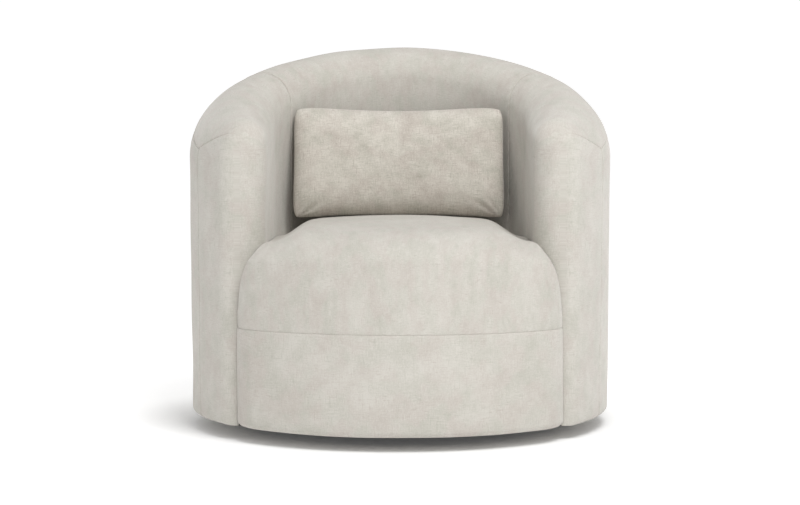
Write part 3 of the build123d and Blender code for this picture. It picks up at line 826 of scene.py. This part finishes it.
def arm_points(size):
    """Grid of the right arm from its back seam to its rounded front end, and distances from that seam."""
    step = 0.0055
    end_rows = 22
    start = size.back_seam_angle - size.seam_gap / wall_radius
    inner_corner, bend = arm_plan(size)[2:]
    angles = dense_ends(start * wall_radius, 0, step, False)[:-1] / wall_radius
    sections = [radial_section(size, angle) for angle in angles]
    straight = np.linspace(0, bend, 44)[:-1]
    sections += [arm_section(size, y, 0) for y in straight]
    for turn in np.linspace(0, pi / 2, end_rows):
        drop = size.arm_end_roll * (1 - cos(turn))
        sections.append(arm_section(size, bend - inner_corner * sin(turn), drop))
    lengths = np.concatenate([(start - angles) * wall_radius, start * wall_radius - straight])
    return np.array(sections), np.concatenate([lengths, np.full(end_rows, lengths[-1] + 0.02)])


def build_arm(size, name, left):
    """One upholstered arm, with its front panel and outside panel sewn in."""
    plain_rows = 8
    other_side = 0.31 * left
    points, distance = arm_points(size)
    normals = grid_normals(points)
    swell = soft_swell(points + other_side, wall_swell, distance[:, None])
    swell[-plain_rows:] *= np.linspace(1, 0, plain_rows)[:, None]
    points = padded_wall(size, points, normals, distance, swell, False)
    rows, columns = points.shape[:2]
    faces = grid_faces(rows, columns)
    last = (rows - 1) * columns
    faces.append(list(range(last, last + columns)))
    made = wall_object(name, points, faces)
    work = bmesh.new()
    work.from_mesh(made.data)
    bmesh.ops.triangulate(work, faces=[face for face in work.faces if len(face.verts) > 4])
    bmesh.ops.recalc_face_normals(work, faces=work.faces)
    work.to_mesh(made.data)
    work.free()
    lines = sew(made, wall_seams(size, True), size.seam_depth)
    lay_panels(made, lambda middles: below_rim_seam(size, middles) | in_front_panel(size, middles))
    if left:
        made.data.transform(Matrix.Diagonal((-1, 1, 1, 1)))
        made.data.flip_normals()
        lines = lines * (-1, 1, 1)
    return made, lines


# Seat and apron

# Half of the gap between the edges of the seat and the apron at their seam
seam_clearance = 0.00002
# Distance between the points of the front's outline
front_step = 0.005
# How far the apron's hem reaches in under the chair
hem_reach = 0.08


def front_outline(size, setback, step):
    """Plan of the round front from the left ear to the right ear, with outward directions."""
    ear_gap = 0.0015
    front = size.drum_radius - setback
    reach = size.drum_radius - size.seat_corner
    corner_x = size.seat_side - size.seat_corner
    corner_y = -sqrt(reach ** 2 - corner_x ** 2)
    turn = atan2(corner_y, corner_x)
    corner = size.seat_corner - setback
    ear = asin((-size.arm_front - ear_gap - corner_y) / corner)
    arc = np.linspace(-pi / 2, turn, max(3, round(front * (turn + pi / 2) / step)))
    bend = np.linspace(turn, ear, max(3, round(corner * (ear - turn) / step)))[1:]
    x = np.concatenate([front * np.cos(arc), corner_x + corner * np.cos(bend)])
    y = np.concatenate([front * np.sin(arc), corner_y + corner * np.sin(bend)])
    out = np.concatenate([arc, bend])
    points = np.stack([x, y], -1)
    ways = np.stack([np.cos(out), np.sin(out)], -1)
    left = points[:0:-1] * (-1, 1)
    left_ways = ways[:0:-1] * (-1, 1)
    return np.concatenate([left, points]), np.concatenate([left_ways, ways])


def back_outline(size, count):
    """Plan of the seat's edge along the arms and the round back, from the left ear to the right ear."""
    clearance = 0.002
    inner_corner, bend = arm_plan(size)[2:]
    half = size.inner_half - clearance
    radius = inner_corner + clearance
    centre_x = half + radius
    turn = np.linspace(-pi / 2, -pi, 20)
    corner = np.stack([centre_x + radius * np.cos(turn), bend + radius * np.sin(turn)], -1)
    side = np.stack([np.full(20, half), np.linspace(bend, 0, 21)[1:]], -1)
    arc = np.linspace(0, pi / 2, 40)[1:]
    back = np.stack([half * np.cos(arc), half * np.sin(arc)], -1)
    right = np.concatenate([corner, side, back])[::-1]
    whole = np.concatenate([right[::-1] * (-1, 1), right[1:]])
    lengths = path_lengths(whole)
    wanted = np.linspace(0, lengths[-1], count)
    return np.stack([np.interp(wanted, lengths, whole[:, axis]) for axis in (0, 1)], -1)


def seat_height(size, x, y):
    """Height of the crowned seat before its front edge is rolled."""
    crown_radius = 2.2
    side_fall = 0.030
    front_fall = 0.021
    side_edge = 0.3185
    side_roll = 0.06
    roll_depth = 2.08
    level_to = -0.06
    aside = np.where(y > 0, np.hypot(x, y), np.abs(x))
    fall = side_fall + (front_fall - side_fall) * smooth_step(-y, 0.18, 0.27)
    height = size.seat_crown - aside ** 2 / (2 * crown_radius) - fall * smooth_step(aside, 0.180, 0.255)
    height = height - roll_depth * edge_roll(side_edge - aside, side_roll)
    ahead = np.minimum(y - level_to, 0)
    return height - ahead ** 2 / (2 * crown_radius)


def build_seat(size):
    """Crowned seat: a front that rolls over into the top, tucked between the arms."""
    roll = 0.086
    shoulder = 0.357
    groove_fade = 0.008
    tuck_height = 0.25
    edge, ways = front_outline(size, size.seat_setback, front_step)
    back = back_outline(size, len(edge))
    seam = size.seat_seam_height + seam_clearance
    rise = np.concatenate([seam_steps, [0.012, 0.017, 0.024]])
    inset = np.concatenate([[0.02, 0.010], size.seat_groove * np.exp(-rise / groove_fade)])
    foot_z = np.concatenate([[seam, seam], seam + rise])
    rolled = roll * (1 - np.cos(np.linspace(0, pi / 2, 22)))
    columns = []
    for start, way, stop in zip(edge, ways, back):
        length = np.linalg.norm(stop - start)
        inward = (stop - start) / max(length, 1e-9)
        squareness = max(0.3, float(-inward @ way))
        front = rolled / squareness / max(length, roll / squareness)
        across = np.concatenate([front, front[-1] + (1 - front[-1]) * np.linspace(0, 1, 100)[1:]])
        plan = start + (stop - start) * across[:, None]
        top = seat_height(size, plan[:, 0], plan[:, 1])
        depth = edge_roll(across * length * squareness, roll)
        top = top - np.maximum(top - shoulder, 0) / roll * depth
        wall_z = np.linspace(foot_z[-1], top[0], 24)[1:-1]
        wall = np.repeat(start[None], len(wall_z), 0)
        down_z = np.linspace(top[-1], tuck_height, 9)[1:]
        down = np.repeat(plan[-1:], len(down_z), 0)
        flat = np.concatenate([start - way * inset[:, None], wall, plan, down])
        columns.append(np.column_stack([flat, np.concatenate([foot_z, wall_z, top, down_z])]))
    points = np.array(columns)
    swell = soft_swell(points, seat_swell, points[..., 2] - seam)
    points = points + grid_normals(points) * swell[..., None]
    points[..., 2] = np.maximum(points[..., 2], seam)
    uvs = {"cloth": grid_lengths(points)}
    faces = grid_faces(*points.shape[:2])
    return add_object("seat_cushion", points.reshape(-1, 3), faces, uvs, "cover_cloth")


def clear_of_lining(size, flat):
    """Moves the points of the hem's underside out to the edge of the lining."""
    inside = (size.drum_radius - hem_reach) / np.linalg.norm(flat, axis=-1, keepdims=True)
    return flat * np.maximum(1, inside)


def hem_corner(size, column, pivot, last):
    """Fan that carries the hem's underside back from an ear to the arm."""
    flat_points = 5
    fan_steps = 7
    spokes = np.concatenate([column[:flat_points, :2] - pivot, [[0, 0]]])
    start = atan2(spokes[0, 1], spokes[0, 0])
    turn = np.linspace(0, (pi / 2 - start + pi) % (2 * pi) - pi, fan_steps)[:, None]
    x = pivot[0] + spokes[:, 0] * np.cos(turn) - spokes[:, 1] * np.sin(turn)
    y = pivot[1] + spokes[:, 0] * np.sin(turn) + spokes[:, 1] * np.cos(turn)
    flat = clear_of_lining(size, np.stack([x, y], -1))
    fan = np.concatenate([flat, np.full((*x.shape, 1), column[0, 2])], -1)
    return fan if last else fan[::-1]


def build_apron(size):
    """Rounded front below the seat, with its hem turned in under the chair."""
    groove_fade = 0.003
    edge, ways = front_outline(size, 0, front_step)
    hem = size.hem_roll
    bottom = size.floor_gap
    top = size.seat_seam_height - seam_clearance
    under = hem_reach * np.array([1, 0.75, 0.5, 0.25])
    turn = np.linspace(-pi / 2, 0, 8)
    fall = np.array([0.013, 0.009, 0.006, 0.004, 0.0025, 0.0014, 0.0006, 0])
    wall = np.linspace(bottom + hem, top - fall[0], 34)[1:-1]
    inset = np.concatenate([under, hem * (1 - np.cos(turn)), np.zeros(len(wall)),
                            size.seat_groove * np.exp(-fall / groove_fade), [0.012, 0.02]])
    height = np.concatenate([np.full(len(under), bottom), bottom + hem + hem * np.sin(turn), wall,
                             top - fall, [top, top]])
    flat = clear_of_lining(size, edge[:, None] - ways[:, None] * inset[None, :, None])
    points = np.concatenate([flat, np.broadcast_to(height[None, :, None], (*flat.shape[:2], 1))], -1)
    swell = soft_swell(points, seat_swell, top - points[..., 2])
    points = points + grid_normals(points) * swell[..., None]
    points[..., 2] = np.clip(points[..., 2], bottom, top)
    corners = [hem_corner(size, points[0], edge[0], False), hem_corner(size, points[-1], edge[-1], True)]
    verts, faces = joined_grids([points, *corners])
    cloth = [grid_lengths(points), *(corner[..., :2] for corner in corners)]
    uvs = {"cloth": np.concatenate([patch.reshape(-1, 2) for patch in cloth])}
    made = add_object("apron", verts, faces, uvs, "cover_cloth")
    work = bmesh.new()
    work.from_mesh(made.data)
    bmesh.ops.remove_doubles(work, verts=work.verts, dist=0.00001)
    work.to_mesh(made.data)
    work.free()
    return made


# Pillow

def pillow_sheets(size, rows, columns):
    """The pillow's front and back cloth, sewn together at the edge, lying flat about the origin."""
    crowding = 0.3
    slack = 0.86
    end_hollow = 0.014
    long_hollow = 0.024
    across = np.linspace(-1, 1, columns)
    up = np.linspace(-1, 1, rows)
    u, v = np.meshgrid(across + crowding * (across - across ** 3), up + crowding * (up - up ** 3))
    fullness = np.maximum(1 - u ** 4, 0) ** 0.5 * np.maximum(1 - v ** 4, 0) ** 0.5
    half = size.pillow_thickness / 2 * slack * fullness
    corner = size.pillow_corner * np.abs(u * v) ** 6
    narrowed = 1 - end_hollow * (1 - v ** 2) * np.abs(u) ** 3
    lowered = 1 - long_hollow * (1 - u ** 2) * np.abs(v) ** 3
    x = u * size.pillow_length / 2 * narrowed - np.sign(u) * corner
    z = v * size.pillow_height / 2 * lowered - np.sign(v) * corner
    return np.stack([x, -half, z], -1), np.stack([x, half, z], -1)


def inflate(made, seam, pressure, cap, frames):
    """Swells a closed piece held at its seam as simulated cloth, with a cap on how far a point moves."""
    scene = bpy.context.scene
    rest = mesh_points(made.data)
    made.vertex_groups.new(name="seam").add(seam, 1, "REPLACE")
    cloth = made.modifiers.new("swell", "CLOTH")
    values = {"quality": 6, "mass": 0.25, "tension_stiffness": 18, "compression_stiffness": 18,
              "shear_stiffness": 6, "bending_stiffness": 0.35, "use_pressure": True,
              "uniform_pressure_force": pressure, "vertex_group_mass": "seam"}
    for name, value in values.items():
        setattr(cloth.settings, name, value)
    cloth.settings.effector_weights.gravity = 0
    cloth.collision_settings.use_collision = False
    for number in range(1, frames + 1):
        scene.frame_set(number)
    settled = made.evaluated_get(bpy.context.evaluated_depsgraph_get()).to_mesh()
    moved = mesh_points(settled) - rest
    made.modifiers.remove(cloth)
    made.vertex_groups.clear()
    scene.frame_set(1)
    length = np.linalg.norm(moved, axis=1, keepdims=True)
    moved *= np.minimum(1, cap / np.maximum(length, 1e-9))
    move_points(made.data, rest + moved)


def build_pillow(size):
    """Loose lumbar pillow with knife edges, swollen by its filling and leaning on the back."""
    rows, columns = 48, 84
    pressure = 3.0
    swell_cap = 0.014
    frames = 16
    front, back = pillow_sheets(size, rows, columns)
    inner = np.zeros((rows, columns), bool)
    inner[1:-1, 1:-1] = True
    index_front = np.arange(rows * columns).reshape(rows, columns)
    index_back = index_front.copy()
    index_back[inner] = rows * columns + np.arange(inner.sum())
    verts = np.concatenate([front.reshape(-1, 3), back[inner]])
    faces = index_faces(index_front, False) + index_faces(index_back, True)
    made = add_object("lumbar_pillow", verts, faces, {"cloth": verts[:, [0, 2]]}, "pillow_cloth")
    inflate(made, index_front[~inner].tolist(), pressure, swell_cap, frames)
    place_pillow(size, made)
    finer = made.modifiers.new("finer", "SUBSURF")
    finer.levels = 1
    finer.render_levels = 1
    return made


def corner_folds(size, flat):
    """Depth of the folds that run in from the pillow's corners, the lower ones stronger."""
    depth = np.zeros(len(flat))
    for side in (-1, 1):
        for level, strength in ((-1, 0.0050), (1, 0.0018)):
            across = size.pillow_length / 2 - side * flat[:, 0]
            up = size.pillow_height / 2 - level * flat[:, 2]
            for lean, reach in ((0.42, 0.10), (0.80, 0.075), (1.16, 0.06)):
                along = across * cos(lean) + up * sin(lean)
                off = across * sin(lean) - up * cos(lean)
                width = 0.0030 + 0.05 * np.maximum(along, 0)
                fade = smooth_step(along, 0.004, 0.02) * (1 - smooth_step(along, 0.35 * reach, reach))
                depth += strength * fade * np.exp(-(off / width) ** 2)
    return depth


def place_pillow(size, made):
    """Fits the loose pillow into its place between the seat and the back."""
    bend = 0.050
    headroom = 0.009
    low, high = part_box("pillow_cover")
    lean = size.pillow_lean
    flat = mesh_points(made.data)
    aside = np.abs(flat[:, 0]) / (size.pillow_length / 2)
    folds = corner_folds(size, flat) * np.clip(flat[:, 1] / 0.02, -1, 1)
    y = flat[:, 1] - folds - bend * aside ** 2
    z = flat[:, 2]
    turned = np.stack([flat[:, 0], y * cos(lean) + z * sin(lean), z * cos(lean) - y * sin(lean)], -1)
    turned[:, 2] *= (high.z - headroom - low.z) / (turned[:, 2].max() - turned[:, 2].min())
    turned[:, 2] += low.z - turned[:, 2].min()
    turned[:, 1] += high.y - turned[:, 1].max()
    droop = np.clip((high.z - turned[:, 2]) / (high.z - low.z), 0, 1)
    turned[:, 2] -= size.pillow_droop * aside ** 4 * droop
    turned[:, 0] -= size.pillow_shift
    move_points(made.data, turned)


# Linings, felt and webbing

def layer_object(name, points, wrap, thickness, material):
    """Thin layer of cloth from a grid of points, given its thickness and closed to a ring by wrap."""
    rows, columns = points.shape[:2]
    faces = grid_faces(rows, columns)
    if wrap:
        last = (rows - 1) * columns
        faces += [[last + i, last + i + 1, i + 1, i] for i in range(columns - 1)]
    made = add_object(name, points.reshape(-1, 3), faces, {"cloth": points[..., :2]}, material)
    thicken(made, thickness)
    return made


def build_dust_cover(size):
    """Round lining cloth under the chair, held by staples at its edge and slack between them."""
    slack = 0.0011
    edge_slack = 0.0005
    low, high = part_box("dust_cover")
    inner = size.lining_hole
    outer = high.x
    angles = np.linspace(0, 2 * pi, 4 * size.staple_count + 1)[:-1]
    angle, radius = np.meshgrid(angles, np.linspace(inner, outer, 30), indexing="ij")
    share = (radius - inner) / (outer - inner)
    sag = slack * np.sin(pi * share) * (1 + 0.4 * np.sin(3 * angle + 1) + 0.3 * np.sin(7 * angle))
    sag = sag + edge_slack * (1 - np.cos(size.staple_count * angle)) * smooth_step(share, 0.8, 1)
    points = np.stack([radius * np.cos(angle), radius * np.sin(angle), (low.z + high.z) / 2 - sag], -1)
    return layer_object("dust_lining", points, True, 0.0005, "spun_lining")


def deck_layer(size, node, name, thickness, material):
    """Flat layer over the springs, from the round front to the round back, with a little give."""
    half_width = 0.278
    give = 0.0004
    spring_pitch = 0.108
    low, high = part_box(node)
    edge = front_outline(size, size.deck_setback, 2 * front_step)[0]
    back = back_outline(size, len(edge))
    share = np.linspace(0, 1, 48)[None, :, None]
    flat = edge[:, None] + (back - edge)[:, None] * share
    x = np.clip(flat[..., 0], -half_width, half_width)
    wave = np.cos(x * 2 * pi / spring_pitch + pi) * np.clip((0.2 - np.abs(x)) / 0.05, 0, 1)
    points = np.stack([x, flat[..., 1], (low.z + high.z) / 2 + give * wave], -1)
    return layer_object(name, points, False, thickness, material)


def build_deck(size):
    """Felt over the springs and the cloth over it."""
    felt = deck_layer(size, "insulator_pad", "spring_felt", 0.0042, "pressed_felt")
    deck = deck_layer(size, "deck_cloth", "deck_lining", 0.0007, "spun_lining")
    return felt, deck


def build_webbing(size):
    """Elastic straps stretched round the inside of the back posts."""
    strap_thickness = 0.0016
    clearance = 0.001
    low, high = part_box("back_webbing")
    radius = high.y - clearance
    angles = np.linspace(size.back_seam_angle, pi - size.back_seam_angle, 90)
    angle, up = np.meshgrid(angles, np.linspace(0, size.strap_width, 9), indexing="ij")
    pitch = (high.z - low.z - size.strap_width) / (size.strap_count - 1)
    heights = [low.z + number * pitch + up for number in range(size.strap_count)]
    x = radius * np.cos(angle)
    y = radius * np.sin(angle)
    straps = [np.stack([x, y, height], -1) for height in heights]
    cloth = [np.stack([radius * angle, height], -1) for height in heights]
    verts, faces = joined_grids(straps)
    made = add_object("back_straps", verts, faces, {"cloth": np.concatenate(cloth)}, "strap_webbing")
    thicken(made, strap_thickness)
    return made


# Stitches and staples

def row_tree():
    """Geometry nodes that set small bent pieces of thread or wire in a row along the edges of a mesh."""
    tree = bpy.data.node_groups.get("small_row")
    if tree:
        return tree
    tree = bpy.data.node_groups.new("small_row", "GeometryNodeTree")
    tree.interface.new_socket("Path", in_out="INPUT", socket_type="NodeSocketGeometry")
    for name in ("Spacing", "Length", "Leg", "Radius"):
        tree.interface.new_socket(name, in_out="INPUT", socket_type="NodeSocketFloat")
    tree.interface.new_socket("Finish", in_out="INPUT", socket_type="NodeSocketMaterial")
    tree.interface.new_socket("Row", in_out="OUTPUT", socket_type="NodeSocketGeometry")
    given = {socket.name: Shade(tree, socket) for socket in tree.nodes.new("NodeGroupInput").outputs}
    make = Shade(tree, None)
    path = make.node("GeometryNodeMeshToCurve", Mesh=given["Path"])
    by_length = {"mode": "LENGTH"}
    places = make.node("GeometryNodeResampleCurve", by_length, Curve=path, Length=given["Spacing"])
    left = given["Length"] * -0.5
    right = given["Length"] * 0.5
    crown = given["Leg"] * -0.33
    bend = make.node(
        "GeometryNodeCurvePrimitiveBezierSegment", Resolution=8,
        Start=make.node("ShaderNodeCombineXYZ", X=left, Z=given["Leg"]),
        Start_Handle=make.node("ShaderNodeCombineXYZ", X=left, Z=crown),
        End_Handle=make.node("ShaderNodeCombineXYZ", X=right, Z=crown),
        End=make.node("ShaderNodeCombineXYZ", X=right, Z=given["Leg"]))
    round_wire = make.node("GeometryNodeCurvePrimitiveCircle", Resolution=6, Radius=given["Radius"])
    wire = make.node("GeometryNodeCurveToMesh", Curve=bend, Profile_Curve=round_wire, Fill_Caps=True)
    tangent = make.node("GeometryNodeInputTangent")
    turn = make.node("FunctionNodeAlignRotationToVector", {"axis": "X"}, Vector=tangent)
    row = make.node("GeometryNodeInstanceOnPoints", Points=places, Instance=wire, Rotation=turn)
    real = make.node("GeometryNodeRealizeInstances", Geometry=row)
    done = make.node("GeometryNodeSetMaterial", Geometry=real, Material=given["Finish"])
    tree.links.new(done.socket, tree.nodes.new("NodeGroupOutput").inputs["Row"])
    return tree


def small_row(name, lines, values):
    """One plain mesh of small pieces set along pairs of points that join into lines."""
    ends = np.round(np.asarray(lines).reshape(-1, 3), 7)
    verts, index = np.unique(ends, axis=0, return_inverse=True)
    mesh = bpy.data.meshes.new(name + "_path")
    mesh.from_pydata(verts.tolist(), index.reshape(-1, 2).tolist(), [])
    path = bpy.data.objects.new(name + "_path", mesh)
    rows = path.modifiers.new("row", "NODES")
    rows.node_group = row_tree()
    for item in rows.node_group.interface.items_tree:
        if item.name in values:
            rows[item.identifier] = values[item.name]
    bpy.context.scene.collection.objects.link(path)
    graph = bpy.context.evaluated_depsgraph_get()
    plain = bpy.data.meshes.new_from_object(path.evaluated_get(graph), depsgraph=graph)
    made = bpy.data.objects.new(name, plain)
    bpy.data.objects.remove(path)
    bpy.context.scene.collection.objects.link(made)
    return made


def build_stitches(size, lines):
    """Thread that shows at the bottom of the seams in the walls."""
    values = {"Spacing": size.stitch_length, "Length": 0.72 * size.stitch_length, "Leg": 0.0,
              "Radius": size.stitch_radius, "Finish": finishes()["sewing_thread"]}
    return small_row("seam_stitches", lines, values)


def build_staples(size):
    """Staples that hold the dust lining to the board above it."""
    edge_distance = 0.007
    below = 0.0003
    low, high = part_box("dust_cover")
    radius = high.x - edge_distance
    angles = np.linspace(0, 2 * pi, 6 * size.staple_count + 1)
    height = np.full(len(angles), low.z - below)
    ring = np.stack([radius * np.cos(angles), radius * np.sin(angles), height], -1)
    ring[-1] = ring[0]
    values = {"Spacing": 2 * pi * radius / size.staple_count, "Length": 0.011, "Leg": 0.0012,
              "Radius": 0.00045, "Finish": finishes()["zinc_steel"]}
    return small_row("lining_staples", np.stack([ring[:-1], ring[1:]], 1), values)


# Floor, lights and camera

def build_floor():
    """Plain pale floor that rises into a wide dish far from the chair, and glows as painted light:
    faintly near the chair and strongly beyond it.
    """
    half_width = 13
    flat_radius = 8
    dish_width = 6
    dish_radius = 5
    # Painted light: the floor's glow is weak near the chair, so its shadow stays, and strong further out,
    # which whitens the floor
    near_glow = 0.12
    far_glow = 0.92
    line = np.linspace(-half_width, half_width, 53)
    x, y = np.meshgrid(line, line)
    beyond = np.clip(np.hypot(x, y) - flat_radius, 0, dish_width)
    points = np.stack([x, y, beyond ** 2 / (2 * dish_radius)], -1)
    shader, shade = new_material("pale_floor")
    reach = shade.node("ShaderNodeVectorMath", {"operation": "LENGTH"}, 1, i0=shade.place())
    # Share of painted glow, rising with distance from the chair
    share = near_glow + reach.between(0.42, 0.66) * (far_glow - near_glow)
    feed_all(shade, shader, {
        "Base Color": (0.97, 0.97, 0.97), "Roughness": 0.9, "Specular IOR Level": 0.1,
        "Emission Color": share.mix((0, 0, 0), (1, 1, 1)), "Emission Strength": 0.4})
    uvs = {"cloth": points[..., :2]}
    floor = add_object("floor", points.reshape(-1, 3), grid_faces(*x.shape), uvs, "pale_floor")


def add_light(name, place, aim, power, size):
    """Soft square light aimed at a point."""
    data = bpy.data.lights.new(name, "AREA")
    data.energy = power
    data.size = size
    lamp = bpy.data.objects.new(name, data)
    lamp.location = place
    lamp.rotation_euler = (Vector(aim) - Vector(place)).to_track_quat("-Z", "Y").to_euler()
    bpy.context.scene.collection.objects.link(lamp)


def build_lights(studio):
    """White surround, the main light above the front of the chair and a weak light in front."""
    world = bpy.data.worlds.new("studio")
    world.use_nodes = True
    background = world.node_tree.nodes["Background"]
    background.inputs["Color"].default_value = (1, 1, 1, 1)
    background.inputs["Strength"].default_value = studio.surround
    bpy.context.scene.world = world
    bpy.context.scene.view_settings.view_transform = "Standard"
    add_light("front", (0.3, -3.75, 2.3), (0, 0, 0.4), studio.front_light, 1.2)
    add_light("top", (0.7, -1.7, 2.8), (0, 0.1, 0.5), studio.top_light, 1.4)


def build_camera(studio):
    """Camera at the photographed angle."""
    data = bpy.data.cameras.new("camera")
    data.sensor_width = 36
    data.lens = studio.camera_lens
    camera = bpy.data.objects.new("camera", data)
    camera.location = (0, -studio.camera_distance, studio.camera_height)
    camera.rotation_euler = (pi / 2 - studio.camera_pitch, 0, 0)
    bpy.context.scene.collection.objects.link(camera)
    bpy.context.scene.camera = camera


# Operators

# Pairs of points along the seams that have been sewn, for their stitches
seam_lines = []


def settle(made, body):
    """Ties a padded piece to its body."""
    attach(made, body)


class CHAIR_OT_back(bpy.types.Operator):
    """Upholsters the back"""
    bl_idname = "chair.back"
    bl_label = "Back"

    def execute(self, context):
        made, lines = build_back(context.scene.chair_sizes)
        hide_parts("back_pad", "inside_back_cover", "outside_back_cover")
        settle(made, "chair")
        seam_lines.append(lines)
        return {"FINISHED"}


class CHAIR_OT_arms(bpy.types.Operator):
    """Upholsters both arms"""
    bl_idname = "chair.arms"
    bl_label = "Arms"

    def execute(self, context):
        for side in ("right", "left"):
            made, lines = build_arm(context.scene.chair_sizes, side + "_arm_upholstery", side == "left")
            seam_lines.append(lines)
            parts = ("arm_pad", "arm_cover", "front_cover", "outside_cover")
            nodes = [side + "_" + part for part in parts]
            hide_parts(*nodes)
            settle(made, "chair")
        return {"FINISHED"}


class CHAIR_OT_seat(bpy.types.Operator):
    """Upholsters the seat and the apron below it"""
    bl_idname = "chair.seat"
    bl_label = "Seat and apron"

    def execute(self, context):
        seat = build_seat(context.scene.chair_sizes)
        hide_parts("seat_foam", "seat_cover")
        settle(seat, "chair")
        apron = build_apron(context.scene.chair_sizes)
        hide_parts("apron_pad", "apron_cover")
        settle(apron, "chair")
        return {"FINISHED"}


class CHAIR_OT_pillow(bpy.types.Operator):
    """Fills and places the loose pillow"""
    bl_idname = "chair.pillow"
    bl_label = "Pillow"

    def execute(self, context):
        made = build_pillow(context.scene.chair_sizes)
        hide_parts("pillow_filling", "pillow_cover")
        settle(made, "pillow")
        return {"FINISHED"}


class CHAIR_OT_lining(bpy.types.Operator):
    """Lays the felt, the linings and the webbing"""
    bl_idname = "chair.lining"
    bl_label = "Linings and webbing"

    def execute(self, context):
        size = context.scene.chair_sizes
        dust = build_dust_cover(size)
        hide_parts("dust_cover")
        felt, deck = build_deck(size)
        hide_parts("insulator_pad")
        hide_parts("deck_cloth")
        straps = build_webbing(size)
        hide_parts("back_webbing")
        for made in (dust, deck, straps):
            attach(made, "chair")
        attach(felt, "chair")
        return {"FINISHED"}


class CHAIR_OT_stitching(bpy.types.Operator):
    """Adds the thread in the seams and the staples under the chair"""
    bl_idname = "chair.stitching"
    bl_label = "Stitches and staples"

    def execute(self, context):
        size = context.scene.chair_sizes
        stitches = build_stitches(size, np.concatenate(seam_lines))
        staples = build_staples(size)
        for made in (stitches, staples):
            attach(made, "chair")
        return {"FINISHED"}


class CHAIR_OT_frame(bpy.types.Operator):
    """Finishes the wooden frame, the springs and the swivel"""
    bl_idname = "chair.frame"
    bl_label = "Frame and swivel"

    def execute(self, context):
        slots = {"frame_wood": "frame_wood", "base_board": "painted_board", "glide_felt": "pressed_felt",
                 "plate_steel": "painted_plate", "fixing_steel": "zinc_steel",
                 "bearing_plastic": "natural_nylon", "filling": "pressed_felt",
                 "lining_cloth": "spun_lining", "cover_fabric": "cover_cloth",
                 "pillow_fabric": "pillow_cloth"}
        made = finishes()
        for part in frame["record"]["subparts"]:
            mesh = frame["nodes"][part["node"]].data
            mesh.materials.clear()
            mesh.materials.append(made[slots[part["material_slot"]]])
        return {"FINISHED"}


class CHAIR_OT_studio(bpy.types.Operator):
    """Sets up the floor, the lights and the camera"""
    bl_idname = "chair.studio"
    bl_label = "Studio"

    def execute(self, context):
        studio = context.scene.chair_studio
        build_floor()
        build_lights(studio)
        build_camera(studio)
        return {"FINISHED"}


class CHAIR_PT_panel(bpy.types.Panel):
    """Lists the chair's pieces in the sidebar"""
    bl_idname = "CHAIR_PT_panel"
    bl_label = "Round swivel chair"
    bl_space_type = "VIEW_3D"
    bl_region_type = "UI"
    bl_category = "Chair"

    def draw(self, context):
        for operator in operators:
            self.layout.operator(operator.bl_idname)


operators = (CHAIR_OT_frame, CHAIR_OT_lining, CHAIR_OT_back, CHAIR_OT_arms, CHAIR_OT_seat,
             CHAIR_OT_stitching, CHAIR_OT_pillow, CHAIR_OT_studio)
classes = (ChairSizes, ChairColours, StudioSettings, *operators, CHAIR_PT_panel)


def register():
    """Registers the classes and their settings."""
    for item in classes:
        bpy.utils.register_class(item)
    bpy.types.Scene.chair_sizes = PointerProperty(type=ChairSizes)
    bpy.types.Scene.chair_colours = PointerProperty(type=ChairColours)
    bpy.types.Scene.chair_studio = PointerProperty(type=StudioSettings)


def unregister():
    """Removes the settings and the classes."""
    del bpy.types.Scene.chair_studio
    del bpy.types.Scene.chair_colours
    del bpy.types.Scene.chair_sizes
    for item in reversed(classes):
        bpy.utils.unregister_class(item)


def main():
    """Builds every piece."""
    register()
    bpy.ops.chair.frame()
    bpy.ops.chair.lining()
    bpy.ops.chair.back()
    bpy.ops.chair.arms()
    bpy.ops.chair.seat()
    bpy.ops.chair.stitching()
    bpy.ops.chair.pillow()
    bpy.ops.chair.studio()


if __name__ == "__main__":
    main()
